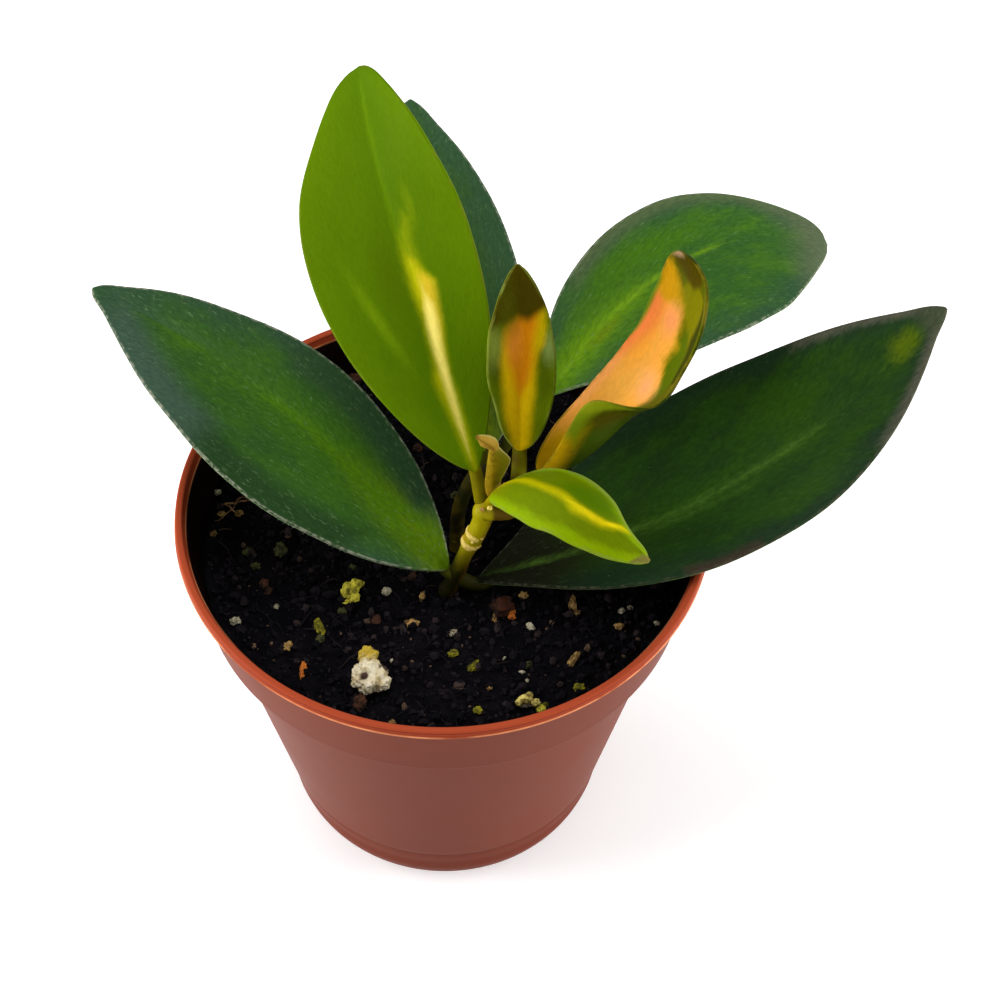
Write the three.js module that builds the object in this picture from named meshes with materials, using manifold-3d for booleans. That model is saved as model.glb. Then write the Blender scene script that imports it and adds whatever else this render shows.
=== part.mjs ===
// Young variegated hoya in a round plastic nursery pot, in millimetres, +Z up.
// The origin is the centre of the pot's underside. The fullest view is along +Y.

import * as THREE from 'three';
import { mergeVertices } from 'three/addons/utils/BufferGeometryUtils.js';
import Module from 'manifold-3d';

const wasm = await Module();
wasm.setup();

// Pot

const POT_HEIGHT = 65;
const POT_RIM_R = 38;
const POT_LIP_W = 1.2;
const POT_LIP_H = 1.0;
const LIP_OVERHANG = 0.8;
const LIP_ROUND = 0.3;
const LIP_FALL = 0.1;
const COLLAR_FOOT_Z = 51.6;
const COLLAR_FOOT_R = 34.8;
const COLLAR_STEP = 1.7;
const BASE_R = 22.1;
const BASE_EDGE_R = 8;
const BASE_EDGE_STEPS = 6;
const BASE_EDGE_ARC = 70;
const MID_WALL_Z = 30;
const WALL = 1.0;
const FLOOR = 1.4;
const FLOOR_EDGE_IN = 6.0;
const FLOOR_SLOPE_IN = 4.0;
const FLOOR_SLOPE_UP = 0.6;
const POT_SIDES = 56;
const DRAIN_HOLES = 6;
const DRAIN_HOLE_R = 2.8;
const DRAIN_CIRCLE_R = 11.4;
const DRAIN_TURN = 30;
const DRAIN_SIDES = 20;

// Soil

const SOIL_TOP = 56.5;
const GAP = 0.3;
const SOIL_WALL_GAP = 0.5;
const SOIL_FOOT_Z = 2.8;
const SOIL_FOOT_IN = 3.4;
const SOIL_UNDER_Z = 1.75;
const SOIL_RINGS = 11;
const SOIL_SIDES = 52;
const BUMPS = 150;
const BUMP_SPREAD_R = 33;
const BUMP_HEIGHT = 0.9;
const BUMP_LEAST_R = 1.2;
const BUMP_MORE_R = 2.2;
const BUMP_DIP = 0.35;
const RELIEF_LOW = -1.0;
const RELIEF_HIGH = 1.2;
const SOIL_SEED = 5;

// Stems: centre points and the radius at each of them

const MAIN_STEM = [
  { at: [0.2, -8.4, 40], r: 1.0 },
  { at: [0.4, -8.4, 50], r: 1.25 },
  { at: [0.6, -8.4, 56.5], r: 1.35 },
  { at: [1.4, -8.4, 58.8], r: 1.35 },
  { at: [2.3, -8.4, 62.0], r: 1.3 },
  { at: [3.3, -8.3, 65.7], r: 1.15 },
  { at: [4.3, -8.2, 68.7], r: 1.5 },
  { at: [5.05, -8.1, 71.0], r: 1.2 },
  { at: [5.6, -8.0, 73.0], r: 1.15 },
  { at: [5.95, -7.9, 75.0], r: 1.5 },
  { at: [7.5, -8.5, 75.4], r: 1.15 },
  { at: [9.2, -8.5, 75.6], r: 1.1 },
  { at: [10.3, -8.0, 76.9], r: 1.35 },
  { at: [10.4, -7.7, 77.9], r: 0.9 },
];
const BACK_STEM = [
  { at: [1.8, -0.6, 42], r: 0.9 },
  { at: [1.9, -0.5, 56.5], r: 1.1 },
  { at: [2.2, -0.3, 65], r: 1.0 },
  { at: [3.8, 0.3, 70.6], r: 1.0 },
  { at: [6.2, 1.0, 74.2], r: 1.4 },
  { at: [7.2, 1.3, 75.2], r: 1.0 },
];
const STEM_STEPS = 26;
const STEM_SIDES = 12;

// Leaves. base is where blade and stalk meet. heading (0 is +Y, positive towards +X), rise and
// roll are degrees at the base, then how much they change in step with the distance along the
// blade and with its square. share is the part of the width right of the midrib. low and high
// shape the outline near base and tip, each for the right and the left half. fold is how far the
// halves stand up at the midrib, and curl how much more at the rim. cupped is the rim's curl on a
// right half that is rolled in near the base and opens further along.

const LEAVES = [
  {
    name: 'leaf_left',
    base: [1.0, -8.3, 61.9], length: 66, width: 25.4, share: 0.39,
    heading: [-49.9, -8.8, -2.6], rise: [28.8, -25, -1.4], roll: [0.4, 1.4, 0.1],
    low: [0.93, 0.83], high: [0.98, 1.02], fold: 8, curl: 4,
    thick: 1.1, stalk: [[1.9, -8.3, 60.9]], stalkR: 1.1, colour: 0x1f4a26,
  },
  {
    name: 'leaf_right',
    base: [4.6, -8.3, 59.1], length: 79, width: 26.8, share: 0.43,
    heading: [84.3, -36.3, -7.4], rise: [14.7, 3.1, 1.2], roll: [-1.7, -12.6, -0.3],
    low: [1.17, 0.97], high: [1.24, 0.9], fold: 8, curl: 4,
    thick: 1.1, stalk: [[1.8, -8.4, 60.4]], stalkR: 1.1, colour: 0x1c3f20,
  },
  {
    name: 'leaf_tall',
    base: [4.8, -5.2, 80.1], length: 59.3, width: 22.8, share: 0.43,
    heading: [-29.6, 5.8, 16.2], rise: [51.8, -30.9, -8.9], roll: [4.4, 31.9, 7.6],
    low: [0.95, 0.79], high: [0.76, 0.66], fold: 8, curl: 4,
    thick: 0.9, stalk: [[5.5, -7.0, 76.0], [5.15, -6.2, 77.6]], stalkR: 0.9, colour: 0x5c8410,
  },
  {
    name: 'leaf_back',
    base: [6.0, 0.5, 77.3], length: 54.6, width: 20.7, share: 0.5,
    heading: [-19, 6.8, 5.9], rise: [37.6, -30.5, -3.4], roll: [-4.5, -4.5, -1.6],
    low: [0.71, 0.71], high: [0.9, 0.9], fold: 8, curl: 4,
    thick: 1.0, stalk: [[5.5, 0.9, 74.6]], stalkR: 0.85, colour: 0x2c5a38,
  },
  {
    name: 'leaf_back_right',
    base: [14, 5.8, 82.9], length: 52.7, width: 26.6, share: 0.6,
    heading: [39.5, -5.7, 54.3], rise: [23.7, -44.3, -3.3], roll: [-7.4, 10, 5.1],
    low: [1.1, 0.8], high: [0.76, 0.6], fold: 4, curl: 4,
    thick: 1.0, stalk: [[7.5, 1.5, 75.2], [10.6, 3.4, 79.2]], stalkR: 0.85, colour: 0x35682f,
  },
  {
    name: 'leaf_young_upright',
    base: [10.6, -4.2, 83.5], length: 27.2, width: 9.2, share: 0.51,
    heading: [-0.7, -4.2, -2.5], rise: [66.7, -6.2, 3.3], roll: [-0.7, -1.9, -1.6],
    low: [0.62, 0.74], high: [0.72, 0.76], fold: 12, curl: 4, steps: 16,
    thick: 0.75, stalk: [[10.3, -7.4, 78.2], [10.5, -6.4, 80.4]], stalkR: 0.95, colour: 0xb07a20,
  },
  {
    name: 'leaf_young_curled',
    base: [13.2, -4.5, 79.4], length: 38.4, width: 18.5, share: 0.75,
    heading: [63.1, 38.6, -106.7], rise: [36.3, 16.9, 14.6], roll: [-27.1, 63.1, 4.1],
    low: [0.58, 0.55], high: [0.47, 0.59], fold: -4.6, curl: 17.3, steps: 26, columns: 6,
    cupped: { near: 161, past: 58, where: 0.48, within: 0.04 },
    thick: 0.75, stalk: [[11.8, -7.3, 76.9], [12.8, -5.9, 78.0]], stalkR: 0.8, colour: 0xd79a4a,
  },
  {
    name: 'leaf_small_front',
    base: [6.7, -9.3, 79.8], length: 30.9, width: 10.7, share: 0.48,
    heading: [123.9, 25.3, -36.7], rise: [68.8, -115.2, 0.4], roll: [-8.8, 0.1, 12.8],
    low: [0.73, 0.85], high: [0.68, 0.92], fold: -17.8, curl: -8.9, steps: 18,
    thick: 0.75, stalk: [[6.0, -8.8, 76.0]], stalkR: 0.75, colour: 0x7f9a10,
  },
  {
    name: 'leaf_bud',
    base: [6.5, -7.3, 77.8], length: 15, width: 6.2, share: 0.5,
    heading: [-93, -15, -21], rise: [73.6, 111, -142.4], roll: [0, 0, 0],
    low: [0.8, 0.8], high: [0.7, 0.7], fold: 64, curl: 4, steps: 12,
    thick: 0.62, stalk: [[6.9, -7.5, 76.3]], stalkR: 0.5, colour: 0x97831a,
  },
];
const BLADE_STEPS = 20;
const HALF_COLUMNS = 3;
const SECTION_PARTS = 12;
const LEAST_HALF_WIDTH = 0.35;
const RIM_THICKNESS = 0.62;
const FOLD_ROOM = 2;
const KEEL_PARTS = 4;
const KEEL_END = 0.42;
const KEEL_SINK = 0.35;
const KEEL_THICK_SHARE = 0.9;
const KEEL_THIN_SHARE = 0.35;
const STALK_END_SINK = 0.1;
const STALK_SIDES = 8;
const STALK_STEPS = 3;

// Lumps lying in the soil: centre, half sizes and the depth of their bumps

const LUMPS = [
  {
    name: 'perlite_lump', at: [-9.9, -23, 58.1], half: [2.8, 3.5, 2.3],
    rough: 0.22, seed: 11, colour: 0xe8e2d2,
  },
  {
    name: 'moss_crumb', at: [-13, -8.9, 57.4], half: [1.5, 1.9, 1.4],
    rough: 0.3, seed: 23, colour: 0x9aa03c,
  },
  {
    name: 'bark_chunk', at: [8.6, -11.2, 57.3], half: [1.7, 1.7, 1.3],
    rough: 0.25, seed: 37, colour: 0x7a3d18,
  },
  {
    name: 'husk_crumb', at: [12, -27.2, 57.2], half: [1.9, 1.0, 1.1],
    rough: 0.3, seed: 41, colour: 0xb3a14a,
  },
];
const LUMP_DETAIL = 2;
const LUMP_DENTS = 14;
const DENT_FALL = 4;
const DENT_OUTWARD = 0.35;
const WELD = 1e-5;
const ROUGHNESS = { pot: 0.45, soil: 0.95, stem: 0.6, leaf: 0.5, lump: 0.9 };

const rad = THREE.MathUtils.degToRad;

// Seeded random numbers from 0 to 1, by a linear congruential rule
function randomFrom(seed) {
  const factor = 1664525;
  const addend = 1013904223;
  const range = 2 ** 32;
  let state = seed;
  return () => {
    state = (Math.imul(state, factor) + addend) >>> 0;
    return state / range;
  };
}

// Closed geometry to solid, and back
function solidOf(geometry) {
  const bare = geometry.clone();
  bare.deleteAttribute('normal');
  bare.deleteAttribute('uv');
  const merged = mergeVertices(bare, WELD);
  return new wasm.Manifold(new wasm.Mesh({
    numProp: 3,
    vertProperties: new Float32Array(merged.attributes.position.array),
    triVerts: new Uint32Array(merged.index.array),
  }));
}

function geometryOf(solid) {
  const mesh = solid.getMesh();
  const geometry = new THREE.BufferGeometry();
  geometry.setAttribute('position', new THREE.BufferAttribute(new Float32Array(mesh.vertProperties), 3));
  geometry.setIndex(new THREE.BufferAttribute(new Uint32Array(mesh.triVerts), 1));
  return geometry;
}

function indexedGeometry(points, faces) {
  const geometry = new THREE.BufferGeometry();
  geometry.setAttribute('position', new THREE.Float32BufferAttribute(points.flat(), 3));
  geometry.setIndex(faces.flat());
  return geometry;
}

// Radius of the pot's outer wall at a height, and of its inner wall
function outerRadius(z) {
  if (z >= COLLAR_FOOT_Z) {
    const topR = POT_RIM_R - LIP_OVERHANG;
    return THREE.MathUtils.mapLinear(z, COLLAR_FOOT_Z, POT_HEIGHT, COLLAR_FOOT_R, topR);
  }
  return THREE.MathUtils.mapLinear(z, 0, COLLAR_FOOT_Z, BASE_R, COLLAR_FOOT_R - COLLAR_STEP);
}

function innerRadius(z) {
  return outerRadius(z) - WALL;
}

// The pot: one turned wall with a rolled lip, a collar and a floor with drain holes
function makePot() {
  const profile = [new THREE.Vector2(0, 0)];
  const put = (r, z) => profile.push(new THREE.Vector2(r, z));
  for (let i = 0; i <= BASE_EDGE_STEPS; i += 1) {
    const a = rad(-90 + (BASE_EDGE_ARC * i) / BASE_EDGE_STEPS);
    put(outerRadius(BASE_EDGE_R) - BASE_EDGE_R * (1 - Math.cos(a)), BASE_EDGE_R * (1 + Math.sin(a)));
  }
  put(outerRadius(MID_WALL_Z), MID_WALL_Z);
  put(COLLAR_FOOT_R - COLLAR_STEP, COLLAR_FOOT_Z - 2 * LIP_ROUND);
  put(COLLAR_FOOT_R - LIP_ROUND, COLLAR_FOOT_Z - LIP_ROUND);
  put(COLLAR_FOOT_R, COLLAR_FOOT_Z + LIP_ROUND);
  put(outerRadius(POT_HEIGHT - POT_LIP_H), POT_HEIGHT - POT_LIP_H - LIP_ROUND);
  put(POT_RIM_R - LIP_FALL, POT_HEIGHT - POT_LIP_H);
  put(POT_RIM_R, POT_HEIGHT - POT_LIP_H / 2);
  put(POT_RIM_R - LIP_ROUND, POT_HEIGHT);
  put(POT_RIM_R - POT_LIP_W, POT_HEIGHT - LIP_FALL);
  put(innerRadius(POT_HEIGHT - POT_LIP_W), POT_HEIGHT - POT_LIP_W);
  put(innerRadius(COLLAR_FOOT_Z), COLLAR_FOOT_Z);
  put(innerRadius(COLLAR_FOOT_Z - WALL), COLLAR_FOOT_Z - WALL);
  put(innerRadius(BASE_EDGE_R), BASE_EDGE_R);
  put(innerRadius(BASE_EDGE_R) - FLOOR_SLOPE_IN, FLOOR + FLOOR_SLOPE_UP);
  put(innerRadius(BASE_EDGE_R) - FLOOR_EDGE_IN, FLOOR);
  put(0, FLOOR);
  const turned = new THREE.LatheGeometry(profile, POT_SIDES);
  turned.rotateX(Math.PI / 2);
  let pot = solidOf(turned);
  for (let i = 0; i < DRAIN_HOLES; i += 1) {
    const a = rad((360 * i) / DRAIN_HOLES + DRAIN_TURN);
    const hole = new THREE.CylinderGeometry(DRAIN_HOLE_R, DRAIN_HOLE_R, 3 * FLOOR, DRAIN_SIDES);
    hole.rotateX(Math.PI / 2);
    hole.translate(DRAIN_CIRCLE_R * Math.cos(a), DRAIN_CIRCLE_R * Math.sin(a), FLOOR / 2);
    pot = pot.subtract(solidOf(hole));
  }
  return pot;
}

// Height of the crumbly soil top, from seeded bumps and dips
function makeSoilRelief() {
  const random = randomFrom(SOIL_SEED);
  const bumps = [];
  for (let i = 0; i < BUMPS; i += 1) {
    const a = random() * 2 * Math.PI;
    const d = Math.sqrt(random()) * BUMP_SPREAD_R;
    const r = BUMP_LEAST_R + BUMP_MORE_R * random();
    bumps.push({ x: d * Math.cos(a), y: d * Math.sin(a), r, h: random() - BUMP_DIP });
  }
  return (x, y) => {
    let z = 0;
    for (const bump of bumps) {
      const away = ((x - bump.x) ** 2 + (y - bump.y) ** 2) / bump.r ** 2;
      z += BUMP_HEIGHT * bump.h * Math.exp(-away);
    }
    return SOIL_TOP + THREE.MathUtils.clamp(z, RELIEF_LOW, RELIEF_HIGH);
  };
}

// The potting mix: rings of the top, then rings down its side, closed by a point at each end
function makeSoil() {
  const relief = makeSoilRelief();
  const rings = [];
  for (let i = 1; i <= SOIL_RINGS; i += 1) {
    const r = ((innerRadius(SOIL_TOP) - SOIL_WALL_GAP) * i) / SOIL_RINGS;
    rings.push({ r, z: i === SOIL_RINGS ? SOIL_TOP : null });
  }
  for (const z of [COLLAR_FOOT_Z + FLOOR_SLOPE_UP, COLLAR_FOOT_Z - WALL, BASE_EDGE_R + FLOOR_SLOPE_UP]) {
    rings.push({ r: innerRadius(z) - SOIL_WALL_GAP, z });
  }
  rings.push({ r: innerRadius(SOIL_FOOT_Z) - SOIL_WALL_GAP - SOIL_FOOT_IN, z: SOIL_FOOT_Z });
  const points = [[0, 0, relief(0, 0)]];
  for (const ring of rings) {
    for (let j = 0; j < SOIL_SIDES; j += 1) {
      const a = (2 * Math.PI * j) / SOIL_SIDES;
      const x = ring.r * Math.cos(a);
      const y = ring.r * Math.sin(a);
      points.push([x, y, ring.z ?? relief(x, y)]);
    }
  }
  const under = points.push([0, 0, SOIL_UNDER_Z]) - 1;
  const faces = [];
  const ringAt = (i) => 1 + i * SOIL_SIDES;
  for (let j = 0; j < SOIL_SIDES; j += 1) {
    const n = (j + 1) % SOIL_SIDES;
    faces.push([0, ringAt(0) + j, ringAt(0) + n]);
    for (let i = 0; i < rings.length - 1; i += 1) {
      faces.push([ringAt(i) + j, ringAt(i + 1) + j, ringAt(i + 1) + n]);
      faces.push([ringAt(i) + j, ringAt(i + 1) + n, ringAt(i) + n]);
    }
    faces.push([ringAt(rings.length - 1) + j, under, ringAt(rings.length - 1) + n]);
  }
  return solidOf(indexedGeometry(points, faces));
}

// The same centre points a little longer and thicker: the room that a stem is given
function roomFor(stations) {
  const grow = (end, next) => {
    const tip = new THREE.Vector3(...end.at);
    const away = tip.clone().sub(new THREE.Vector3(...next.at)).setLength(GAP);
    return { at: tip.add(away).toArray(), r: end.r };
  };
  const last = stations.length - 1;
  const longer = stations.slice();
  longer[0] = grow(stations[0], stations[1]);
  longer[last] = grow(stations[last], stations[last - 1]);
  return longer.map((station) => ({ at: station.at, r: station.r + GAP }));
}

// A round tube through centre points, with its own radius along the way
function taperedTube(stations, steps, sides) {
  const curve = new THREE.CatmullRomCurve3(stations.map((s) => new THREE.Vector3(...s.at)));
  const frames = curve.computeFrenetFrames(steps, false);
  const points = [];
  const faces = [];
  for (let i = 0; i <= steps; i += 1) {
    const u = i / steps;
    const t = curve.getUtoTmapping(u) * (stations.length - 1);
    const k = Math.min(Math.floor(t), stations.length - 2);
    const r = THREE.MathUtils.lerp(stations[k].r, stations[k + 1].r, t - k);
    const centre = curve.getPointAt(u);
    for (let j = 0; j < sides; j += 1) {
      const a = (2 * Math.PI * j) / sides;
      const p = centre.clone();
      p.addScaledVector(frames.normals[i], r * Math.cos(a));
      p.addScaledVector(frames.binormals[i], r * Math.sin(a));
      points.push(p.toArray());
    }
  }
  const start = points.push(curve.getPointAt(0).toArray()) - 1;
  const end = points.push(curve.getPointAt(1).toArray()) - 1;
  for (let j = 0; j < sides; j += 1) {
    const n = (j + 1) % sides;
    faces.push([start, n, j]);
    faces.push([end, steps * sides + j, steps * sides + n]);
    for (let i = 0; i < steps; i += 1) {
      const a = i * sides;
      const b = a + sides;
      faces.push([a + j, a + n, b + n]);
      faces.push([a + j, b + n, b + j]);
    }
  }
  return solidOf(indexedGeometry(points, faces));
}

// Value that starts at v[0] and changes by v[1] and v[2] along the blade
function along(v, s) {
  return v[0] + v[1] * s + v[2] * s * s;
}

// Half width of the blade at s, as a share of its widest
function outline(low, high, s) {
  const widest = low / (low + high);
  const top = widest ** low * (1 - widest) ** high;
  return (s ** low * (1 - s) ** high) / top;
}

// Midrib points of a leaf with the blade's own directions at each of them
function midrib(leaf, steps) {
  const stations = [];
  const point = new THREE.Vector3(...leaf.base);
  let before = null;
  for (let i = 0; i <= steps; i += 1) {
    const s = i / steps;
    const heading = rad(along(leaf.heading, s));
    const rise = rad(along(leaf.rise, s));
    const roll = rad(along(leaf.roll, s));
    const ahead = new THREE.Vector3(
      Math.sin(heading) * Math.cos(rise),
      Math.cos(heading) * Math.cos(rise),
      Math.sin(rise),
    );
    const level = new THREE.Vector3(Math.cos(heading), -Math.sin(heading), 0);
    const over = new THREE.Vector3().crossVectors(level, ahead);
    const right = level.clone().multiplyScalar(Math.cos(roll)).addScaledVector(over, Math.sin(roll));
    const up = over.clone().multiplyScalar(Math.cos(roll)).addScaledVector(level, -Math.sin(roll));
    if (before) {
      point.addScaledVector(before.clone().add(ahead), (0.5 * leaf.length) / steps);
    }
    stations.push({ s, at: point.clone(), ahead, right, up });
    before = ahead;
  }
  return stations;
}

// Degrees that a half of the blade curls up between midrib and rim
function curlAt(leaf, isRight, s) {
  if (!isRight || !leaf.cupped) {
    return leaf.curl;
  }
  const { near, past, where, within } = leaf.cupped;
  return past + (near - past) / (1 + Math.exp((s - where) / within));
}

// Cross-section of half a blade: how far out and how far up a point at share u of it lies
function halfSection(fold, curl, u) {
  let out = 0;
  let up = 0;
  for (let i = 0; i < SECTION_PARTS; i += 1) {
    const turn = rad(fold + (curl * u * (i + 0.5)) / SECTION_PARTS);
    out += (u * Math.cos(turn)) / SECTION_PARTS;
    up += (u * Math.sin(turn)) / SECTION_PARTS;
  }
  return { out, up };
}

// A point's two skin points: the blade's thickness apart, square to the blade
function skinAt(leaf, row, u) {
  const isRight = u >= 0;
  const away = Math.abs(u);
  const half = isRight ? 0 : 1;
  const share = isRight ? leaf.share : 1 - leaf.share;
  const grown = leaf.width * share * outline(leaf.low[half], leaf.high[half], row.s);
  const width = Math.max(grown, LEAST_HALF_WIDTH);
  const curl = curlAt(leaf, isRight, row.s);
  const fold = leaf.fold * Math.min(1, width / (FOLD_ROOM * leaf.thick));
  const section = halfSection(fold, curl, away);
  const turn = away > 0 ? rad(fold + curl * away) : 0;
  const normal = row.up.clone().multiplyScalar(Math.cos(turn));
  normal.addScaledVector(row.right, -Math.sign(u) * Math.sin(turn));
  const flat = THREE.MathUtils.lerp(leaf.thick, RIM_THICKNESS, u * u);
  const thickness = away > 0 ? flat : flat / Math.cos(rad(fold));
  const middle = row.at.clone();
  middle.addScaledVector(row.right, Math.sign(u) * width * section.out);
  middle.addScaledVector(row.up, width * section.up);
  return {
    top: middle.clone().addScaledVector(normal, thickness / 2).toArray(),
    under: middle.clone().addScaledVector(normal, -thickness / 2).toArray(),
  };
}

// The blade: two like grids a thickness apart, closed round the rim
function makeBlade(leaf) {
  const halfColumns = leaf.columns ?? HALF_COLUMNS;
  const columns = 2 * halfColumns;
  const steps = leaf.steps ?? BLADE_STEPS;
  const top = [];
  const bottom = [];
  for (const row of midrib(leaf, steps)) {
    for (let j = 0; j <= columns; j += 1) {
      const skin = skinAt(leaf, row, (j - halfColumns) / halfColumns);
      top.push(skin.top);
      bottom.push(skin.under);
    }
  }
  const faces = [];
  const under = top.length;
  const line = columns + 1;
  const quad = (a, b, c, d) => faces.push([a, b, c], [a, c, d]);
  for (let i = 0; i < steps; i += 1) {
    for (let j = 0; j < columns; j += 1) {
      const a = i * line + j;
      quad(a, a + 1, a + line + 1, a + line);
      faces.push([under + a, under + a + line + 1, under + a + 1]);
      faces.push([under + a, under + a + line, under + a + line + 1]);
    }
    const left = i * line;
    const right = i * line + columns;
    quad(left, left + line, under + left + line, under + left);
    quad(right, under + right, under + right + line, right + line);
  }
  const tip = steps * line;
  for (let j = 0; j < columns; j += 1) {
    quad(j, under + j, under + j + 1, j + 1);
    quad(tip + j, tip + j + 1, under + tip + j + 1, under + tip + j);
  }
  return solidOf(indexedGeometry([...top, ...bottom], faces));
}

// The stalk, which runs on under the blade as the midrib's keel
function makeStalk(leaf) {
  const rows = midrib(leaf, BLADE_STEPS);
  const stations = leaf.stalk.map((at) => ({ at, r: leaf.stalkR }));
  const joint = rows[0].at.clone().addScaledVector(rows[0].up, -STALK_END_SINK);
  stations.push({ at: joint.toArray(), r: leaf.stalkR * KEEL_THICK_SHARE });
  for (let i = 1; i <= KEEL_PARTS; i += 1) {
    const row = rows[Math.round((BLADE_STEPS * KEEL_END * i) / KEEL_PARTS)];
    const at = row.at.clone().addScaledVector(row.up, -leaf.thick * KEEL_SINK).toArray();
    const share = THREE.MathUtils.lerp(KEEL_THICK_SHARE, KEEL_THIN_SHARE, i / KEEL_PARTS);
    stations.push({ at, r: leaf.stalkR * share });
  }
  return taperedTube(stations, STALK_STEPS * stations.length, STALK_SIDES);
}

// A rough lump with a flattened underside
function makeLump(lump, swell = 0) {
  const random = randomFrom(lump.seed);
  const geometry = new THREE.IcosahedronGeometry(1, LUMP_DETAIL);
  const dents = [];
  for (let i = 0; i < LUMP_DENTS; i += 1) {
    const way = new THREE.Vector3(random() - 0.5, random() - 0.5, random() - 0.5).normalize();
    dents.push({ way, depth: lump.rough * (random() - DENT_OUTWARD) });
  }
  const position = geometry.attributes.position;
  const p = new THREE.Vector3();
  for (let i = 0; i < position.count; i += 1) {
    p.fromBufferAttribute(position, i).normalize();
    let r = 1;
    for (const dent of dents) {
      r += dent.depth * Math.max(0, p.dot(dent.way)) ** DENT_FALL;
    }
    const x = lump.at[0] + p.x * (r * lump.half[0] + swell);
    const y = lump.at[1] + p.y * (r * lump.half[1] + swell);
    const z = lump.at[2] + p.z * (r * lump.half[2] + swell);
    position.setXYZ(i, x, y, z);
  }
  return solidOf(geometry);
}

// Assembly

const hoya = new THREE.Group();
hoya.name = 'variegated_hoya';

function addMesh(name, solid, colour, roughness) {
  const material = new THREE.MeshStandardMaterial({ color: colour, roughness, metalness: 0 });
  const mesh = new THREE.Mesh(geometryOf(solid), material);
  mesh.name = name;
  hoya.add(mesh);
}

const mainStem = taperedTube(MAIN_STEM, STEM_STEPS, STEM_SIDES);
const backStem = taperedTube(BACK_STEM, STEM_STEPS, STEM_SIDES);
const mainRoom = taperedTube(roomFor(MAIN_STEM), STEM_STEPS, STEM_SIDES);
const backRoom = taperedTube(roomFor(BACK_STEM), STEM_STEPS, STEM_SIDES);
const stemRoom = mainRoom.add(backRoom);

let soil = makeSoil().subtract(stemRoom);
for (const lump of LUMPS) {
  soil = soil.subtract(makeLump(lump, GAP));
}

addMesh('pot', makePot(), 0xa8553c, ROUGHNESS.pot);
addMesh('soil', soil, 0x171216, ROUGHNESS.soil);
addMesh('main_stem', mainStem, 0x8c8a2c, ROUGHNESS.stem);
addMesh('back_stem', backStem, 0x5c6a24, ROUGHNESS.stem);
for (const leaf of LEAVES) {
  const solid = makeBlade(leaf).add(makeStalk(leaf)).subtract(stemRoom);
  addMesh(leaf.name, solid, leaf.colour, ROUGHNESS.leaf);
}
for (const lump of LUMPS) {
  addMesh(lump.name, makeLump(lump), lump.colour, ROUGHNESS.lump);
}

export default hoya;
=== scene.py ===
import math

import bpy
import numpy as np
from mathutils import Matrix, Vector, noise


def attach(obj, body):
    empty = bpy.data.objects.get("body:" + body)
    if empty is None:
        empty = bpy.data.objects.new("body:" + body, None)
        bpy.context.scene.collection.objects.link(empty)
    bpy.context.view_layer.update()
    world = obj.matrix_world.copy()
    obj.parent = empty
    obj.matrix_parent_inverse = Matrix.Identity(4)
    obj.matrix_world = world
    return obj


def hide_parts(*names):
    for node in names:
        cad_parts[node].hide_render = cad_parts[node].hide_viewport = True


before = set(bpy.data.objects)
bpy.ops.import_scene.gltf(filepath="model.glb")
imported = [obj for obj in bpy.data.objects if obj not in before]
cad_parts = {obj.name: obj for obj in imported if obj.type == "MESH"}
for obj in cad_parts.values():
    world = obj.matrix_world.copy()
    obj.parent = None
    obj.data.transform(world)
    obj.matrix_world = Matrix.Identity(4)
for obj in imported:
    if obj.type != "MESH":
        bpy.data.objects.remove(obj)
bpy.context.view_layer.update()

MM = 0.001
# Seeds of what is drawn at random, and how far a random turn reaches
SEEDS = {"crumbs": 17, "fibres": 29, "bits": 53, "scar": 71, "stem_bits": 83, "first_leaf": 100}
ANY_TURN = 6.28

# Pot, in millimetres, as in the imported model

POT_HEIGHT = 65.0
POT_RIM_R = 38.0
COLLAR_DEPTH = 13.4
COLLAR_FOOT_R = 34.8
COLLAR_STEP = 1.7
BASE_R = 22.1
BASE_EDGE_R = 8.0
WALL = 1.0
FLOOR = 1.4
DRAIN_HOLES = 6
DRAIN_HOLE_R = 2.8
DRAIN_CIRCLE_R = 11.4
SOIL_TOP = 56.5
GAP = 0.3

# Camera, matched to the outline of the pot

CAMERA_AT = (8.0, -258.3, 398.4)
CAMERA_DOWN = 52.05
CAMERA_ROLL = 0.8
CAMERA_LENS = 107.5
SENSOR = 36.0

# Stems: centre points and the radius at each of them

MAIN_STEM = [
    ((0.2, -8.4, 40), 1.0), ((0.4, -8.4, 50), 1.25), ((0.6, -8.4, 56.5), 1.2), ((1.4, -8.4, 58.8), 1.2),
    ((2.3, -8.4, 62.0), 1.15), ((3.3, -8.3, 65.7), 1.05), ((4.3, -8.2, 68.7), 1.3),
    ((5.05, -8.1, 71.0), 1.3), ((5.6, -8.0, 73.0), 1.35), ((5.95, -7.9, 75.0), 1.6),
    ((7.5, -8.5, 75.4), 1.15), ((9.2, -8.5, 75.6), 1.1), ((10.3, -8.0, 76.9), 1.35),
    ((10.4, -7.7, 77.9), 0.9),
]
BACK_STEM = [
    ((1.8, -0.6, 42), 0.9), ((1.9, -0.5, 56.5), 1.1), ((2.2, -0.3, 65), 1.0),
    ((3.8, 0.3, 70.6), 1.0), ((6.2, 1.0, 74.2), 1.4), ((7.2, 1.3, 75.2), 1.0),
]


def display(r, g, b):
    """A display colour from 0 to 255 as linear light."""
    out = []
    for v in (r, g, b):
        v /= 255
        out.append(v / 12.92 if v <= 0.04045 else ((v + 0.055) / 1.055) ** 2.4)
    return (*out, 1.0)


# Leaves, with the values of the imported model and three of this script's own. trim narrows a side (0 right,
# 1 left) between two shares of the length, by so many mm. blunt is how much the tip is widened, and groove
# how deep the groove is, both in mm.

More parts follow.
